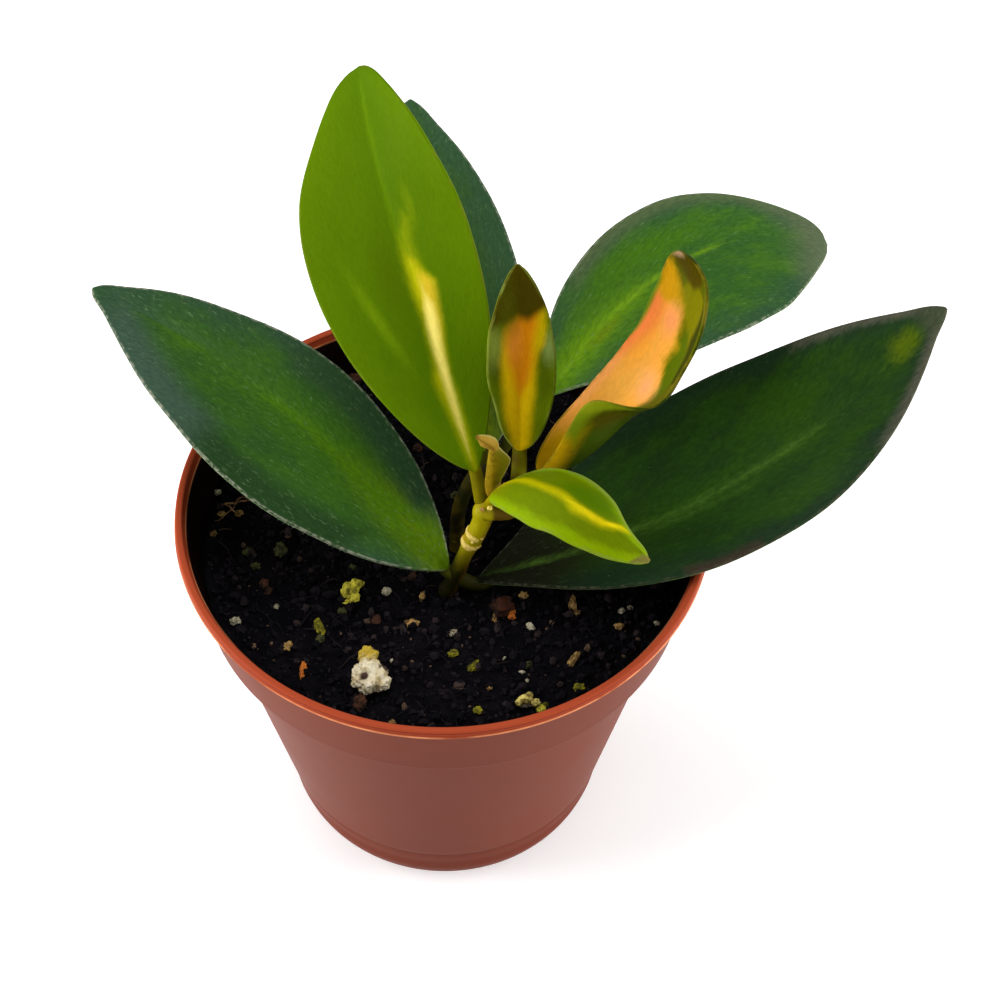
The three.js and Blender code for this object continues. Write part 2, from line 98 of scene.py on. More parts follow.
LEAVES = {
    "leaf_left": dict(
        base=(1.0, -8.3, 61.9), length=66, width=25.4, share=0.39,
        heading=(-49.9, -8.8, -2.6), rise=(28.8, -25, -1.4), roll=(0.4, 1.4, 0.1),
        low=(0.93, 0.83), high=(0.98, 1.02), fold=8, curl=4,
        thick=1.1, stalk=[(1.9, -8.3, 60.9)], stalk_r=1.1, grid=(120, 24), slot="leaf_dark",
        trim=[(0, 0.45, 0.95, 0.5)], blunt=1.5,
    ),
    "leaf_right": dict(
        base=(4.6, -8.3, 59.1), length=79, width=26.8, share=0.43,
        heading=(84.3, -36.3, -7.4), rise=(14.7, 3.1, 1.2), roll=(-1.7, -12.6, -0.3),
        low=(1.17, 0.97), high=(1.24, 0.9), fold=8, curl=4,
        thick=1.1, stalk=[(1.8, -8.4, 60.4)], stalk_r=1.1, grid=(130, 24), slot="leaf_dark",
        trim=[(1, 0.5, 0.88, 0.6), (1, 0.02, 0.56, -1.7)], blunt=1.3,
    ),
    "leaf_tall": dict(
        base=(4.8, -5.2, 80.1), length=59.3, width=22.8, share=0.43,
        heading=(-29.6, 5.8, 16.2), rise=(51.8, -30.9, -8.9), roll=(4.4, 31.9, 7.6),
        low=(0.95, 0.79), high=(0.76, 0.66), fold=8, curl=4,
        thick=0.9, stalk=[(5.5, -7.0, 76.0), (5.15, -6.2, 77.6)], stalk_r=1.0, grid=(130, 26),
        slot="leaf_light",
        trim=[(1, 0.7, 0.99, 0.6)], blunt=0.8, groove=0.07,
    ),
    "leaf_back": dict(
        base=(6.0, 0.5, 77.3), length=54.6, width=20.7, share=0.5,
        heading=(-19, 6.8, 5.9), rise=(37.6, -30.5, -3.4), roll=(-4.5, -4.5, -1.6),
        low=(0.71, 0.71), high=(0.9, 0.9), fold=8, curl=4,
        thick=1.0, stalk=[(5.5, 0.9, 74.6)], stalk_r=0.85, grid=(100, 20), slot="leaf_dark",
        blunt=0.8,
    ),
    "leaf_back_right": dict(
        base=(14, 5.8, 82.9), length=52.7, width=26.6, share=0.6,
        heading=(39.5, -5.7, 54.3), rise=(23.7, -44.3, -3.3), roll=(-7.4, 10, 5.1),
        low=(1.1, 0.8), high=(0.76, 0.6), fold=4, curl=4,
        thick=1.0, stalk=[(7.5, 1.5, 75.2), (10.6, 3.4, 79.2)], stalk_r=0.85, grid=(100, 24),
        slot="leaf_dark",
        trim=[(1, 0.72, 1.0, 0.9)], blunt=1.0,
    ),
    "leaf_young_upright": dict(
        base=(10.6, -4.2, 83.5), length=27.2, width=9.2, share=0.51,
        heading=(-0.7, -4.2, -2.5), rise=(66.7, -6.2, 3.3), roll=(-0.7, -1.9, -1.6),
        low=(0.62, 0.74), high=(0.72, 0.76), fold=12, curl=4,
        thick=0.75, stalk=[(10.3, -7.4, 78.2), (10.5, -6.4, 80.4)], stalk_r=1.1, grid=(100, 20),
        slot="leaf_young",
        trim=[(1, 0.1, 0.42, 0.4)], groove=0.03,
    ),
    "leaf_young_curled": dict(
        base=(13.2, -4.5, 79.4), length=38.4, width=18.5, share=0.75,
        heading=(63.1, 38.6, -106.7), rise=(36.3, 16.9, 14.6), roll=(-27.1, 63.1, 4.1),
        low=(0.58, 0.55), high=(0.47, 0.59), fold=-4.6, curl=17.3,
        cupped=dict(near=161, past=58, where=0.48, within=0.04),
        thick=0.75, stalk=[(11.8, -7.3, 76.9), (12.8, -5.9, 78.0)], stalk_r=0.8, grid=(150, 32),
        slot="leaf_young",
        trim=[(0, 0.48, 0.86, 2.0)], blunt=0.9,
    ),
    "leaf_small_front": dict(
        base=(6.7, -9.3, 79.8), length=30.9, width=10.7, share=0.48,
        heading=(123.9, 25.3, -36.7), rise=(68.8, -115.2, 0.4), roll=(-8.8, 0.1, 12.8),
        low=(0.73, 0.85), high=(0.68, 0.92), fold=-17.8, curl=-8.9,
        thick=0.75, stalk=[(6.3, -8.6, 77.0)], stalk_r=0.62, grid=(100, 20), slot="leaf_light",
        trim=[(1, 0.7, 0.99, 0.8)],
    ),
}

# Folded young leaf at the top of the main stem: its middle line, how far its left and right edges lie from
# that, and its half thickness
BUD_Y = -7.45
BUD = [
    ((7.1, 77.0), 0.55, 0.55, 0.5), ((7.0, 78.4), 0.95, 0.85, 0.7), ((6.95, 79.8), 1.05, 1.15, 0.75),
    ((6.95, 81.1), 1.05, 1.2, 0.75), ((7.0, 82.8), 0.95, 1.75, 0.7), ((7.05, 84.4), 0.9, 2.15, 0.65),
    ((7.1, 85.5), 0.85, 2.25, 0.6), ((7.1, 86.4), 0.8, 1.8, 0.55), ((7.1, 87.2), 0.72, 1.15, 0.55),
    ((7.05, 87.9), 0.62, 0.72, 0.55), ((6.9, 88.6), 0.85, 0.85, 0.65), ((6.5, 89.4), 1.1, 1.0, 0.75),
    ((5.95, 90.1), 1.05, 0.85, 0.7), ((5.3, 90.6), 0.6, 0.5, 0.45), ((4.7, 90.9), 0.15, 0.15, 0.15),
]

# Leaf colours: the blade, its centre and base, near the margin, below, and the rim's edge. centre is how
# far the centre colour reaches from the midrib in mm and along the blade, base the same for the base colour,
# and margin_in how far the margin colour reaches in. fleck is the strength of the pale flecks. Every colour
# in the tables is a display colour.

DARK_GLOSS = 0.05
YOUNG_GLOSS = 0.018
# The dark leaves' pale grey edge is partly their own pale hairs and partly painted sheen of the lit rim.
DARK_LEAF = dict(
    blade=(40, 74, 26), middle=(58, 98, 14), root=(98, 116, 0), margin=(40, 66, 44),
    under=(84, 108, 62), edge=(132, 134, 116), centre=(4.2, 0.95), base=(2.8, 0.34), margin_in=5.5,
    fleck=0.55, rough=0.6, gloss=DARK_GLOSS, grainy=0.2, rim_and_glint_patches=1.3, rim_in=0.24,
    stalk=((58, 58, 4), (40, 42, 5)),
)
LEAF_LOOKS = {
    "leaf_left": dict(DARK_LEAF),
    "leaf_right": dict(
        # root, near black at the blade's base, is painted shadow.
        DARK_LEAF, blade=(26, 52, 13), middle=(40, 73, 9), root=(22, 22, 3), margin=(26, 46, 26),
        centre=(2.6, 0.95), base=(3.6, 0.42), margin_in=4.5, edge=(64, 62, 48), fleck=0.1,
        stalk=((40, 40, 4), (24, 22, 4)),
    ),
    "leaf_back": dict(
        DARK_LEAF, blade=(42, 72, 34), middle=(52, 82, 28), margin=(44, 72, 46), centre=(3.0, 0.7),
        edge=(130, 128, 116), fleck=0.4,
    ),
    "leaf_back_right": dict(
        DARK_LEAF, blade=(44, 82, 28), middle=(70, 110, 10), root=(88, 128, 6), margin=(44, 74, 46),
        centre=(3.0, 0.6), base=(2.0, 0.55), margin_in=6.0, edge=(124, 130, 108), fleck=0.4,
    ),
    "leaf_tall": dict(
        blade=(74, 102, 0), middle=(69, 98, 0), root=(82, 110, 0), margin=(78, 106, 0),
        under=(100, 126, 16), edge=(92, 108, 16), centre=(3.0, 3.0), base=(2.0, 0.3), margin_in=5.0,
        fleck=0.0, rough=0.6, gloss=YOUNG_GLOSS, grainy=0.06, stalk=((106, 98, 2), (84, 78, 2)),
    ),
    "leaf_young_upright": dict(
        blade=(76, 94, 0), middle=(76, 88, 0), root=(176, 146, 2), margin=(80, 98, 2),
        under=(104, 106, 16), edge=(106, 116, 44), centre=(1.5, 0.8), base=(1.3, 0.5), margin_in=1.4,
        fleck=0.0, rough=0.5, gloss=YOUNG_GLOSS, grainy=0.08, stalk=((84, 82, 2), (64, 52, 8)),
    ),
    "leaf_young_curled": dict(
        blade=(76, 80, 0), middle=(84, 84, 0), root=(160, 128, 2), margin=(66, 74, 0),
        under=(36, 48, 0), edge=(104, 94, 16), centre=(2.0, 0.8), base=(1.5, 0.2), margin_in=2.2,
        fleck=0.0, rough=0.5, gloss=YOUNG_GLOSS, grainy=0.08, stalk=((70, 60, 4), (50, 36, 6)),
    ),
    "leaf_small_front": dict(
        blade=(88, 106, 0), middle=(84, 98, 0), root=(104, 104, 2), margin=(104, 130, 0),
        under=(94, 112, 14), edge=(112, 128, 44), centre=(1.5, 0.9), base=(1.5, 0.25), margin_in=1.6,
        fleck=0.0, rough=0.5, gloss=YOUNG_GLOSS, grainy=0.06, stalk=((132, 122, 4), (112, 98, 4)),
    ),
}


# Materials

class Nodes:
    """A material's node tree, built by short calls that each return an output socket."""

    def __init__(self, name):
        self.material = bpy.data.materials.new(name)
        self.material.use_nodes = True
        self.tree = self.material.node_tree
        self.shader = self.tree.nodes["Principled BSDF"]

    def link(self, value, socket):
        if isinstance(value, bpy.types.NodeSocket):
            self.tree.links.new(value, socket)
        elif isinstance(value, tuple) and len(value) == 3:
            socket.default_value = display(*value)
        else:
            socket.default_value = value

    def node(self, kind, inputs=None, **settings):
        made = self.tree.nodes.new("ShaderNode" + kind)
        for key, value in settings.items():
            setattr(made, key, value)
        for key, value in (inputs or {}).items():
            self.link(value, made.inputs[key])
        return made.outputs

    def attribute(self, name):
        return self.node("Attribute", attribute_name=name)["Fac"]

    def place(self):
        return self.node("TexCoord")["Object"]

    def height(self, place):
        return self.node("SeparateXYZ", {0: place})[2]

    def turned_right(self):
        return self.node("SeparateXYZ", {0: self.node("NewGeometry")["Normal"]})[0]

    def combine(self, x, y, z):
        return self.node("CombineXYZ", {0: x, 1: y, 2: z})[0]

    def math(self, operation, *values):
        return self.node("Math", dict(enumerate(values)), operation=operation)[0]

    def times(self, a, b):
        return self.math("MULTIPLY", a, b)

    def shifted(self, value, grain, reach):
        """A value that a noise moves up and down."""
        return self.math("MULTIPLY_ADD", self.math("SUBTRACT", grain, 0.5), reach, value)

    def band(self, value, centre, full, end, strength):
        """Strong round one value, and gone at a distance from it."""
        away = self.math("ABSOLUTE", self.math("SUBTRACT", value, centre))
        return self.ramp(away, full, end, strength, 0.0)

    def noise(self, vector, scale, detail=3.0, rough=0.55):
        inputs = {"Vector": vector, "Scale": scale, "Detail": detail, "Roughness": rough}
        return self.node("TexNoise", inputs)["Fac"]

    def cells(self, vector, scale):
        return self.node("TexVoronoi", {"Vector": vector, "Scale": scale})["Distance"]

    def ramp(self, value, low, high, to_low=0.0, to_high=1.0):
        inputs = {"Value": value, "From Min": low, "From Max": high, "To Min": to_low, "To Max": to_high}
        return self.node("MapRange", inputs, interpolation_type="SMOOTHSTEP")["Result"]

    def mix(self, factor, a, b):
        return self.node("Mix", {0: factor, 6: a, 7: b}, data_type="RGBA")[2]

    def shade(self, colour, factor):
        grey = self.combine(factor, factor, factor)
        return self.node("Mix", {0: 1.0, 6: colour, 7: grey}, data_type="RGBA", blend_type="MULTIPLY")[2]

    def bump(self, height, distance, strength, **under):
        inputs = {"Height": height, "Distance": distance, "Strength": strength}
        return self.node("Bump", inputs | under)["Normal"]

    def finish(self, colour, roughness, normal=None, **fixed):
        self.link(colour, self.shader.inputs["Base Color"])
        self.link(roughness, self.shader.inputs["Roughness"])
        if normal is not None:
            self.link(normal, self.shader.inputs["Normal"])
        for name, value in fixed.items():
            self.shader.inputs[name.replace("_", " ")].default_value = value
        return self.material


def tinted(n, colour, zones, blotch, fine):
    """Lays zones over a colour; each is (attribute, softness in mm, raggedness in mm, colour, shape)."""
    for attribute, soft, ragged, tint, _ in zones:
        edge = n.shifted(n.shifted(n.attribute(attribute), blotch, ragged * 2), fine, ragged)
        colour = n.mix(n.ramp(edge, -soft, soft), colour, tint)
    return colour


def flecked(n, colour, strength, along, out, top, slant, grain):
    """Pale threads that slant away from the midrib, and small pale dots."""
    streaky = n.combine(n.times(slant, 0.3), out, top)
    threads = n.ramp(n.noise(streaky, 3.6, 3.0, 0.6), 0.56, 0.74, 0.0, strength)
    threads = n.times(threads, n.ramp(n.noise(grain, 0.6, 2.0), 0.35, 0.65, 0.35, 1.0))
    colour = n.mix(threads, colour, (104, 130, 84))
    dots = n.ramp(n.cells(n.combine(along, out, 0.0), 1.1), 0.05, 0.15, 1.0, 0.0)
    dots = n.times(dots, n.ramp(n.noise(grain, 1.0, 2.0), 0.56, 0.68, 0.0, strength * 0.7))
    return n.mix(dots, colour, (140, 158, 132))


def leaf_material(name, look, zones):
    """A blade's colour from where each point lies on it."""
    n = Nodes(name)
    along, out, rim, top = (n.attribute(key) for key in ("along", "out", "rim", "top"))
    slant = n.math("MULTIPLY_ADD", n.math("ABSOLUTE", out), -VEIN_SLANT, along)
    grain = n.combine(n.times(slant, 0.5), out, top)
    blotch = n.noise(grain, 0.35)
    fine = n.noise(grain, 2.0, 4.0)
    colour = n.mix(n.ramp(blotch, 0.35, 0.7, 0.0, 0.5), look["blade"], look["middle"])
    inward = n.ramp(n.shifted(rim, blotch, 5.0), 0.0, look["margin_in"], 0.9, 0.0)
    colour = n.mix(inward, colour, look["margin"])
    for key in ("middle", "root"):
        colour = n.mix(n.times(n.attribute(key), n.ramp(fine, 0.2, 0.6, 0.7, 1.0)), colour, look[key])
    colour = tinted(n, colour, [zone for zone in zones if not below(zone)], blotch, fine)
    if look["fleck"]:
        colour = flecked(n, colour, look["fleck"], along, out, top, slant, grain)
    under = tinted(n, look["under"], [zone for zone in zones if below(zone)], blotch, fine)
    colour = n.mix(n.ramp(top, 0.45, 0.55), under, colour)
    skin = n.combine(along, out, top)
    # Patches of the edge colour along the rim; on the dark leaves this pale edge is partly painted sheen of
    # the lit rim.
    rim_and_glint_patches = n.ramp(n.noise(skin, look.get("rim_and_glint_patches", 0.35)), 0.4, 0.64, 0.05, 0.8)
    rim_and_glint_patches = n.times(n.ramp(rim, 0.0, look.get("rim_in", 0.13), 1.0, 0.0), rim_and_glint_patches)
    colour = n.mix(rim_and_glint_patches, colour, look["edge"])
    stalk = n.mix(n.ramp(n.noise(n.place(), 260.0), 0.4, 0.65), *look["stalk"])
    colour = n.mix(n.attribute("stalk"), colour, stalk)
    colour = n.shade(colour, n.ramp(fine, 0.2, 0.8, 1 - look["grainy"], 1 + look["grainy"]))
    normal = n.bump(fine, 0.00012, 0.5, Normal=n.bump(n.cells(skin, 4.5), 0.00004, 0.4))
    rough = n.ramp(blotch, 0.3, 0.7, look["rough"] - 0.06, look["rough"] + 0.08)
    return n.finish(colour, rough, normal, Specular_IOR_Level=look["gloss"])


# Heights in metres between which a stem turns from its low to its high colour, and between which the painted
# shade at its foot fades
STEM_TURNS = (0.0635, 0.0705)
STEM_FOOT_SHADE = (0.0612, 0.0682)


def stem_material(name, low, high, far):
    """Colour from how high the point is on the stem, with painted shade at its foot and on its side that
    faces right, and brown where its attribute says so.
    """
    n = Nodes(name)
    place = n.place()
    grain = n.noise(place, 420.0, 4.0)
    patch = n.noise(place, 150.0, 2.0)
    rise = n.shifted(n.height(place), patch, 0.006)
    colour = n.mix(n.ramp(rise, *STEM_TURNS), low, high)
    # Painted shade at the foot of the stem, near the mix.
    colour = n.mix(n.ramp(rise, *STEM_FOOT_SHADE, 0.95, 0.0), colour, (16, 15, 3))
    # Painted shade: the side that faces right is darkened towards the far colour.
    colour = n.mix(n.ramp(n.turned_right(), 0.0, 0.85, 0.0, 0.8), colour, far)
    colour = n.mix(n.ramp(n.attribute("far"), 0.2, 0.8), colour, far)
    colour = n.mix(n.ramp(patch, 0.5, 0.7, 0.0, 0.4), colour, (104, 86, 4))
    colour = n.mix(n.ramp(grain, 0.6, 0.78, 0.0, 0.25), colour, (170, 160, 40))
    return n.finish(colour, 0.5, n.bump(grain, 0.0001, 0.5), Specular_IOR_Level=0.08)


def scar_material():
    """Cream lips round a brownish groove."""
    n = Nodes("stem_scar")
    grain = n.noise(n.place(), 1300.0, 4.0, 0.6)
    lip = n.shifted(n.attribute("lip"), grain, 0.7)
    colour = n.mix(n.ramp(lip, 0.25, 0.8), (150, 124, 10), (208, 182, 92))
    # Painted shade on the side that faces right.
    colour = n.mix(n.ramp(n.turned_right(), 0.1, 0.9, 0.0, 0.85), colour, (100, 84, 6))
    colour = n.mix(n.ramp(grain, 0.6, 0.72, 0.0, 0.6), colour, (110, 82, 14))
    return n.finish(colour, 0.6, n.bump(grain, 0.0003, 0.7), Specular_IOR_Level=0.1)


def bud_material():
    """Olive body, pale right edge, beige bent cap and a brown point."""
    n = Nodes("bud_skin")
    grain = n.noise(n.place(), 700.0, 3.0, 0.6)
    along = n.shifted(n.attribute("along"), grain, 1.2)
    colour = n.mix(n.ramp(grain, 0.35, 0.65), (136, 112, 2), (108, 88, 2))
    colour = n.mix(n.ramp(n.attribute("out"), -0.1, 0.6, 0.0, 0.8), colour, (94, 94, 2))
    colour = n.mix(n.ramp(along, 4.4, 1.0, 0.0, 0.6), colour, (128, 96, 8))
    colour = n.mix(n.ramp(along, 10.4, 11.4), colour, (146, 116, 34))
    # Painted shade in the fold of the cap.
    fold = n.times(n.band(n.attribute("out"), 0.05, 0.0, 0.4, 0.8), n.ramp(along, 10.8, 11.4))
    colour = n.mix(fold, colour, (118, 82, 4))
    colour = n.mix(n.ramp(n.attribute("edge"), 0.35, 0.8, 0.0, 0.8), colour, (146, 140, 76))
    colour = n.mix(n.ramp(along, 14.2, 15.2), colour, (96, 62, 10))
    return n.finish(colour, 0.6, n.bump(grain, 0.0002, 0.6), Specular_IOR_Level=0.1)


# Heights on the pot in metres where its colour changes: the foot and the line round it, the painted shadow
# under the lip, the lip with the painted highlight on its bead and the painted shade of its groove, and the
# lip's top
FOOT_UPPER = (0.0113, 0.0119)
FOOT_LINE = 0.0118
LIP_SHADOW = 0.0632
LIP_LOWER = (0.0633, 0.0635)
LIP_BEAD = 0.06376
LIP_GROOVE = 0.06462
LIP_TOP = (0.06464, 0.06478)


def pot_material():
    """Reddish brown plastic, with a darker foot, a lip with painted highlight on its bead and painted shade
    in its groove, and an inside painted almost black as shade.
    """
    n = Nodes("pot_plastic")
    place = n.place()
    cloud = n.noise(place, 28.0)
    height = n.height(place)
    colour = n.mix(n.ramp(cloud, 0.35, 0.7), (99, 44, 28), (106, 50, 34))
    colour = n.mix(n.ramp(height, *FOOT_UPPER, 1.0, 0.0), colour, (102, 44, 28))
    colour = n.mix(n.band(height, FOOT_LINE, 0.0001, 0.0004, 0.5), colour, (72, 24, 14))
    colour = n.mix(n.ramp(height, *LIP_LOWER), colour, (138, 54, 30))
    colour = n.mix(n.ramp(height, *LIP_TOP), colour, (150, 62, 36))
    # Painted shade of a groove between the lip's top and its outer face.
    colour = n.mix(n.band(height, LIP_GROOVE, 0.00006, 0.00016, 0.55), colour, (92, 26, 14))
    # Painted highlight: glints on the bead under the lip, in patches.
    rim_and_glint_patches = n.ramp(n.noise(place, 160.0), 0.35, 0.6, 0.15, 1.0)
    bright = n.band(height, LIP_BEAD, 0.0001, 0.00022, 0.9)
    colour = n.mix(n.times(bright, rim_and_glint_patches), colour, (214, 136, 92))
    colour = n.mix(n.band(height, LIP_SHADOW, 0.0001, 0.0004, 0.5), colour, (84, 32, 20))
    scuff = n.ramp(n.noise(place, 210.0, 5.0, 0.7), 0.70, 0.78, 0.0, 0.2)
    colour = n.mix(scuff, colour, (160, 104, 84))
    # Painted shade: the inside of the wall is coloured almost black.
    colour = n.mix(n.ramp(n.attribute("inside"), 0.4, 0.6), colour, (12, 4, 3))
    rough = n.ramp(cloud, 0.3, 0.7, 0.36, 0.46)
    return n.finish(colour, rough, n.bump(n.noise(place, 900.0), 0.00003, 0.35), Specular_IOR_Level=0.025)


def soil_material():
    n = Nodes("potting_mix")
    place = n.place()
    fine = n.noise(place, 1500.0, 4.0, 0.7)
    colour = n.mix(n.ramp(n.noise(place, 380.0, 5.0, 0.65), 0.4, 0.7), (3, 2, 5), (13, 10, 14))
    colour = n.mix(n.ramp(fine, 0.6, 0.75, 0.0, 0.5), colour, (30, 26, 31))
    return n.finish(colour, 0.9, n.bump(fine, 0.0004, 0.9), Specular_IOR_Level=0.05)


def crumb_material():
    """Colour of each loose crumb, from its own random number."""
    n = Nodes("soil_crumb")
    own = n.attribute("own")
    grain = n.noise(n.place(), 1600.0)
    colour = n.mix(n.ramp(own, 0.0, 0.8), (4, 3, 6), (20, 16, 20))
    colour = n.mix(n.ramp(own, 0.84, 0.95), colour, (40, 32, 32))
    colour = n.mix(n.ramp(own, 0.975, 0.995), colour, (84, 66, 52))
    colour = n.mix(n.ramp(grain, 0.55, 0.75, 0.0, 0.3), colour, (44, 38, 42))
    return n.finish(colour, 0.85, n.bump(grain, 0.0002, 0.7), Specular_IOR_Level=0.06)


def grain_material(name, light, dark, scale=900.0, rough=0.8):
    n = Nodes(name)
    grain = n.noise(n.place(), scale, 5.0, 0.6)
    colour = n.mix(n.ramp(grain, 0.38, 0.66), light, dark)
    return n.finish(colour, rough, n.bump(grain, 0.0003, 0.7), Specular_IOR_Level=0.15)


# Where the perlite's knob begins, in metres towards the back
KNOB_FROM = (-0.0222, -0.0202)


def perlite_material():
    """Off-white with brown pits, and yellow on the knob at the back."""
    n = Nodes("perlite_skin")
    place = n.place()
    grain = n.noise(place, 900.0, 4.0)
    pit = n.ramp(n.cells(place, 480.0), 0.18, 0.4, 1.0, 0.0)
    pit = n.times(pit, n.ramp(n.noise(place, 420.0, 2.0), 0.4, 0.5))
    colour = n.mix(n.ramp(grain, 0.3, 0.7), (222, 212, 186), (178, 158, 112))
    back = n.math("MULTIPLY_ADD", grain, 0.002, n.node("SeparateXYZ", {0: place})[1])
    colour = n.mix(n.ramp(back, *KNOB_FROM), colour, (176, 148, 34))
    colour = n.mix(pit, colour, (58, 34, 18))
    return n.finish(colour, 0.85, n.bump(grain, 0.0004, 0.8))


def hair_material():
    n = Nodes("leaf_hair")
    colour = n.mix(n.noise(n.place(), 300.0, 1.0), (62, 84, 56), (128, 140, 118))
    return n.finish(colour, 0.7, Specular_IOR_Level=0.1)


# Mesh building

def add_piece(name, shape, material, slot, replaces=None, smooth=True, **values):
    """Makes a piece from points in millimetres and faces; values are one number for each point, by name."""
    points, faces = shape
    mesh = bpy.data.meshes.new(name)
    mesh.from_pydata((np.asarray(points) * MM).tolist(), [], [list(map(int, f)) for f in faces])
    mesh.validate()
    for key, numbers in values.items():
        layer = mesh.attributes.new(key, "FLOAT", "POINT")
        layer.data.foreach_set("value", np.asarray(numbers, dtype=np.float32))
    mesh.polygons.foreach_set("use_smooth", [smooth] * len(mesh.polygons))
    mesh.materials.append(material)
    mesh.update()
    piece = bpy.data.objects.new(name, mesh)
    bpy.context.scene.collection.objects.link(piece)
    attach(piece, "root")
    if replaces:
        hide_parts(replaces)
    return piece


def unit(v):
    v = np.asarray(v, dtype=float)
    return v / np.linalg.norm(v, axis=-1, keepdims=True)


def soft_step(value, low, high):
    share = np.clip((value - low) / (high - low), 0, 1)
    return share * share * (3 - 2 * share)


def full_turn(sides):
    return np.linspace(0, 2 * np.pi, sides, endpoint=False)


def smooth_path(points, count):
    """A Catmull-Rom line through points, and the share of the way that each of its places is at."""
    p = np.asarray(points, dtype=float)
    p = np.vstack([2 * p[0] - p[1], p, 2 * p[-1] - p[-2]])
    at = np.linspace(0, len(points) - 1, count)
    k = np.minimum(at.astype(int), len(points) - 2)
    t = (at - k)[:, None]
    a, b, c, d = p[k], p[k + 1], p[k + 2], p[k + 3]
    square = (2 * a - 5 * b + 4 * c - d) * t ** 2
    cube = (3 * b - a - 3 * c + d) * t ** 3
    return 0.5 * (2 * b + (c - a) * t + square + cube), at


def ring_faces(rings, sides, flip=False):
    """Faces over rings of points, closed by a point for each end; both of these come after the rings."""
    faces = []
    last = (rings - 1) * sides
    for j in range(sides):
        n = (j + 1) % sides
        for a in range(0, last, sides):
            faces.append((a + j, a + n, a + sides + n, a + sides + j))
        faces.append((n, j, rings * sides))
        faces.append((last + j, last + n, rings * sides + 1))
    if flip:
        faces = [(face[0], *face[:0:-1]) for face in faces]
    return faces


def tube(path, radii, sides, rough=0.0, seed=0):
    """Closed tube of the given radii."""
    path = np.asarray(path, dtype=float)
    ahead = unit(np.gradient(path, axis=0))
    side = unit(np.cross(ahead[0], (0.3, 0.9, 0.2)))
    points = []
    wobble = 1 + rough * np.random.default_rng(seed).standard_normal((len(path), sides))
    turn = full_turn(sides)
    for i, (centre, way, r) in enumerate(zip(path, ahead, radii)):
        side = unit(side - way * np.dot(side, way))
        ring = np.outer(np.cos(turn), side) + np.outer(np.sin(turn), np.cross(way, side))
        points.append(centre + ring * (r * wobble[i])[:, None])
    return np.vstack([*points, path[:1], path[-1:]]), ring_faces(len(path), sides)


def join(parts):
    """Several (points, faces) as one."""
    points = []
    faces = []
    start = 0
    for own, own_faces in parts:
        points.append(own)
        faces.extend([tuple(i + start for i in f) for f in own_faces])
        start += len(own)
    return np.vstack(points), faces


# Blades: thickness at the rim, the least half width, how long the blunt tip is, how wide a blade must be for
# its full fold, how finely its curl is added up, and how far from the midrib the fold's crease is rounded.
# Then the ripple of the rim, the groove over the midrib, the keel under it, and the side veins. All in mm.

RIM_THICKNESS = 0.5
LEAST_HALF_WIDTH = 0.22
BLUNT_LENGTH = 5.0
FOLD_ROOM = 2
SECTION_PARTS = 12
CREASE_REACH = 0.5
RIPPLE = 0.14
RIPPLE_WAVES = (17, 31)
SECOND_RIPPLE = 0.6
GROOVE = 0.14
GROOVE_HALF = 0.5
KEEL = 0.45
KEEL_HALF = 0.6
VEIN_SLANT = 0.9
VEIN_STEP = 6.5
VEIN_HIGH = 0.04
VEIN_HALF = 0.4
RIM_BULGE = 0.42
ACROSS_SPREAD = np.pi / 2 * 0.92


def along_blade(v, s):
    return v[0] + v[1] * s + v[2] * s * s


def outline(low, high, s):
    widest = low / (low + high)
    peak = widest ** low * (1 - widest) ** high
    return s ** low * (1 - s) ** high / peak


def midrib(leaf, steps):
    """Places along the midrib, with the blade's own directions at each of them."""
    s = np.linspace(0, 1, steps + 1)
    heading = np.radians(along_blade(leaf["heading"], s))
    rise = np.radians(along_blade(leaf["rise"], s))
    roll = np.radians(along_blade(leaf["roll"], s))[:, None]
    ahead = np.stack([np.sin(heading) * np.cos(rise), np.cos(heading) * np.cos(rise), np.sin(rise)], 1)
    level = np.stack([np.cos(heading), -np.sin(heading), 0 * s], 1)
    over = np.cross(level, ahead)
    right = level * np.cos(roll) + over * np.sin(roll)
    up = over * np.cos(roll) - level * np.sin(roll)
    steps_taken = 0.5 * (ahead[1:] + ahead[:-1]) * leaf["length"] / steps
    at = np.asarray(leaf["base"]) + np.vstack([np.zeros(3), np.cumsum(steps_taken, axis=0)])
    return s, at, ahead, right, up


def curl_at(leaf, side, s):
    """Degrees that a half of the blade curls up between midrib and rim."""
    cupped = leaf.get("cupped")
    if side == 1 or cupped is None:
        return leaf["curl"]
    opened = 1 / (1 + math.exp(-(s - cupped["where"]) / cupped["within"]))
    return cupped["near"] + (cupped["past"] - cupped["near"]) * opened


def half_width(leaf, side, s):
    share = leaf["share"] if side == 0 else 1 - leaf["share"]
    width = leaf["width"] * share * outline(leaf["low"][side], leaf["high"][side], s)
    for trimmed, start, end, depth in leaf.get("trim", ()):
        if trimmed == side and start < s < end:
            width -= depth * math.sin(math.pi * (s - start) / (end - start)) ** 2
    close = (1 - s) * leaf["length"] / BLUNT_LENGTH
    if close < 1:
        width += leaf.get("blunt", 0) * math.sqrt(max(0, close)) * (1 - close) ** 2
    return width


def section(leaf, s, v, width):
    """How far right and up of the midrib a point lies, its normal's turn, and how the fold thickens it."""
    side = 0 if v >= 0 else 1
    away = abs(v)
    curl = curl_at(leaf, side, s)
    fold = leaf["fold"] * min(1, width / (FOLD_ROOM * leaf["thick"]))
    parts = (np.arange(SECTION_PARTS) + 0.5) / SECTION_PARTS
    turn = np.radians(fold + curl * away * parts)
    blend = min(1, away * width / CREASE_REACH)
    return (
        math.copysign(width * away * np.cos(turn).mean(), v), width * away * np.sin(turn).mean(),
        math.copysign(math.radians(fold * blend + curl * away), v),
        1 + (1 / math.cos(math.radians(fold)) - 1) * (1 - blend),
    )


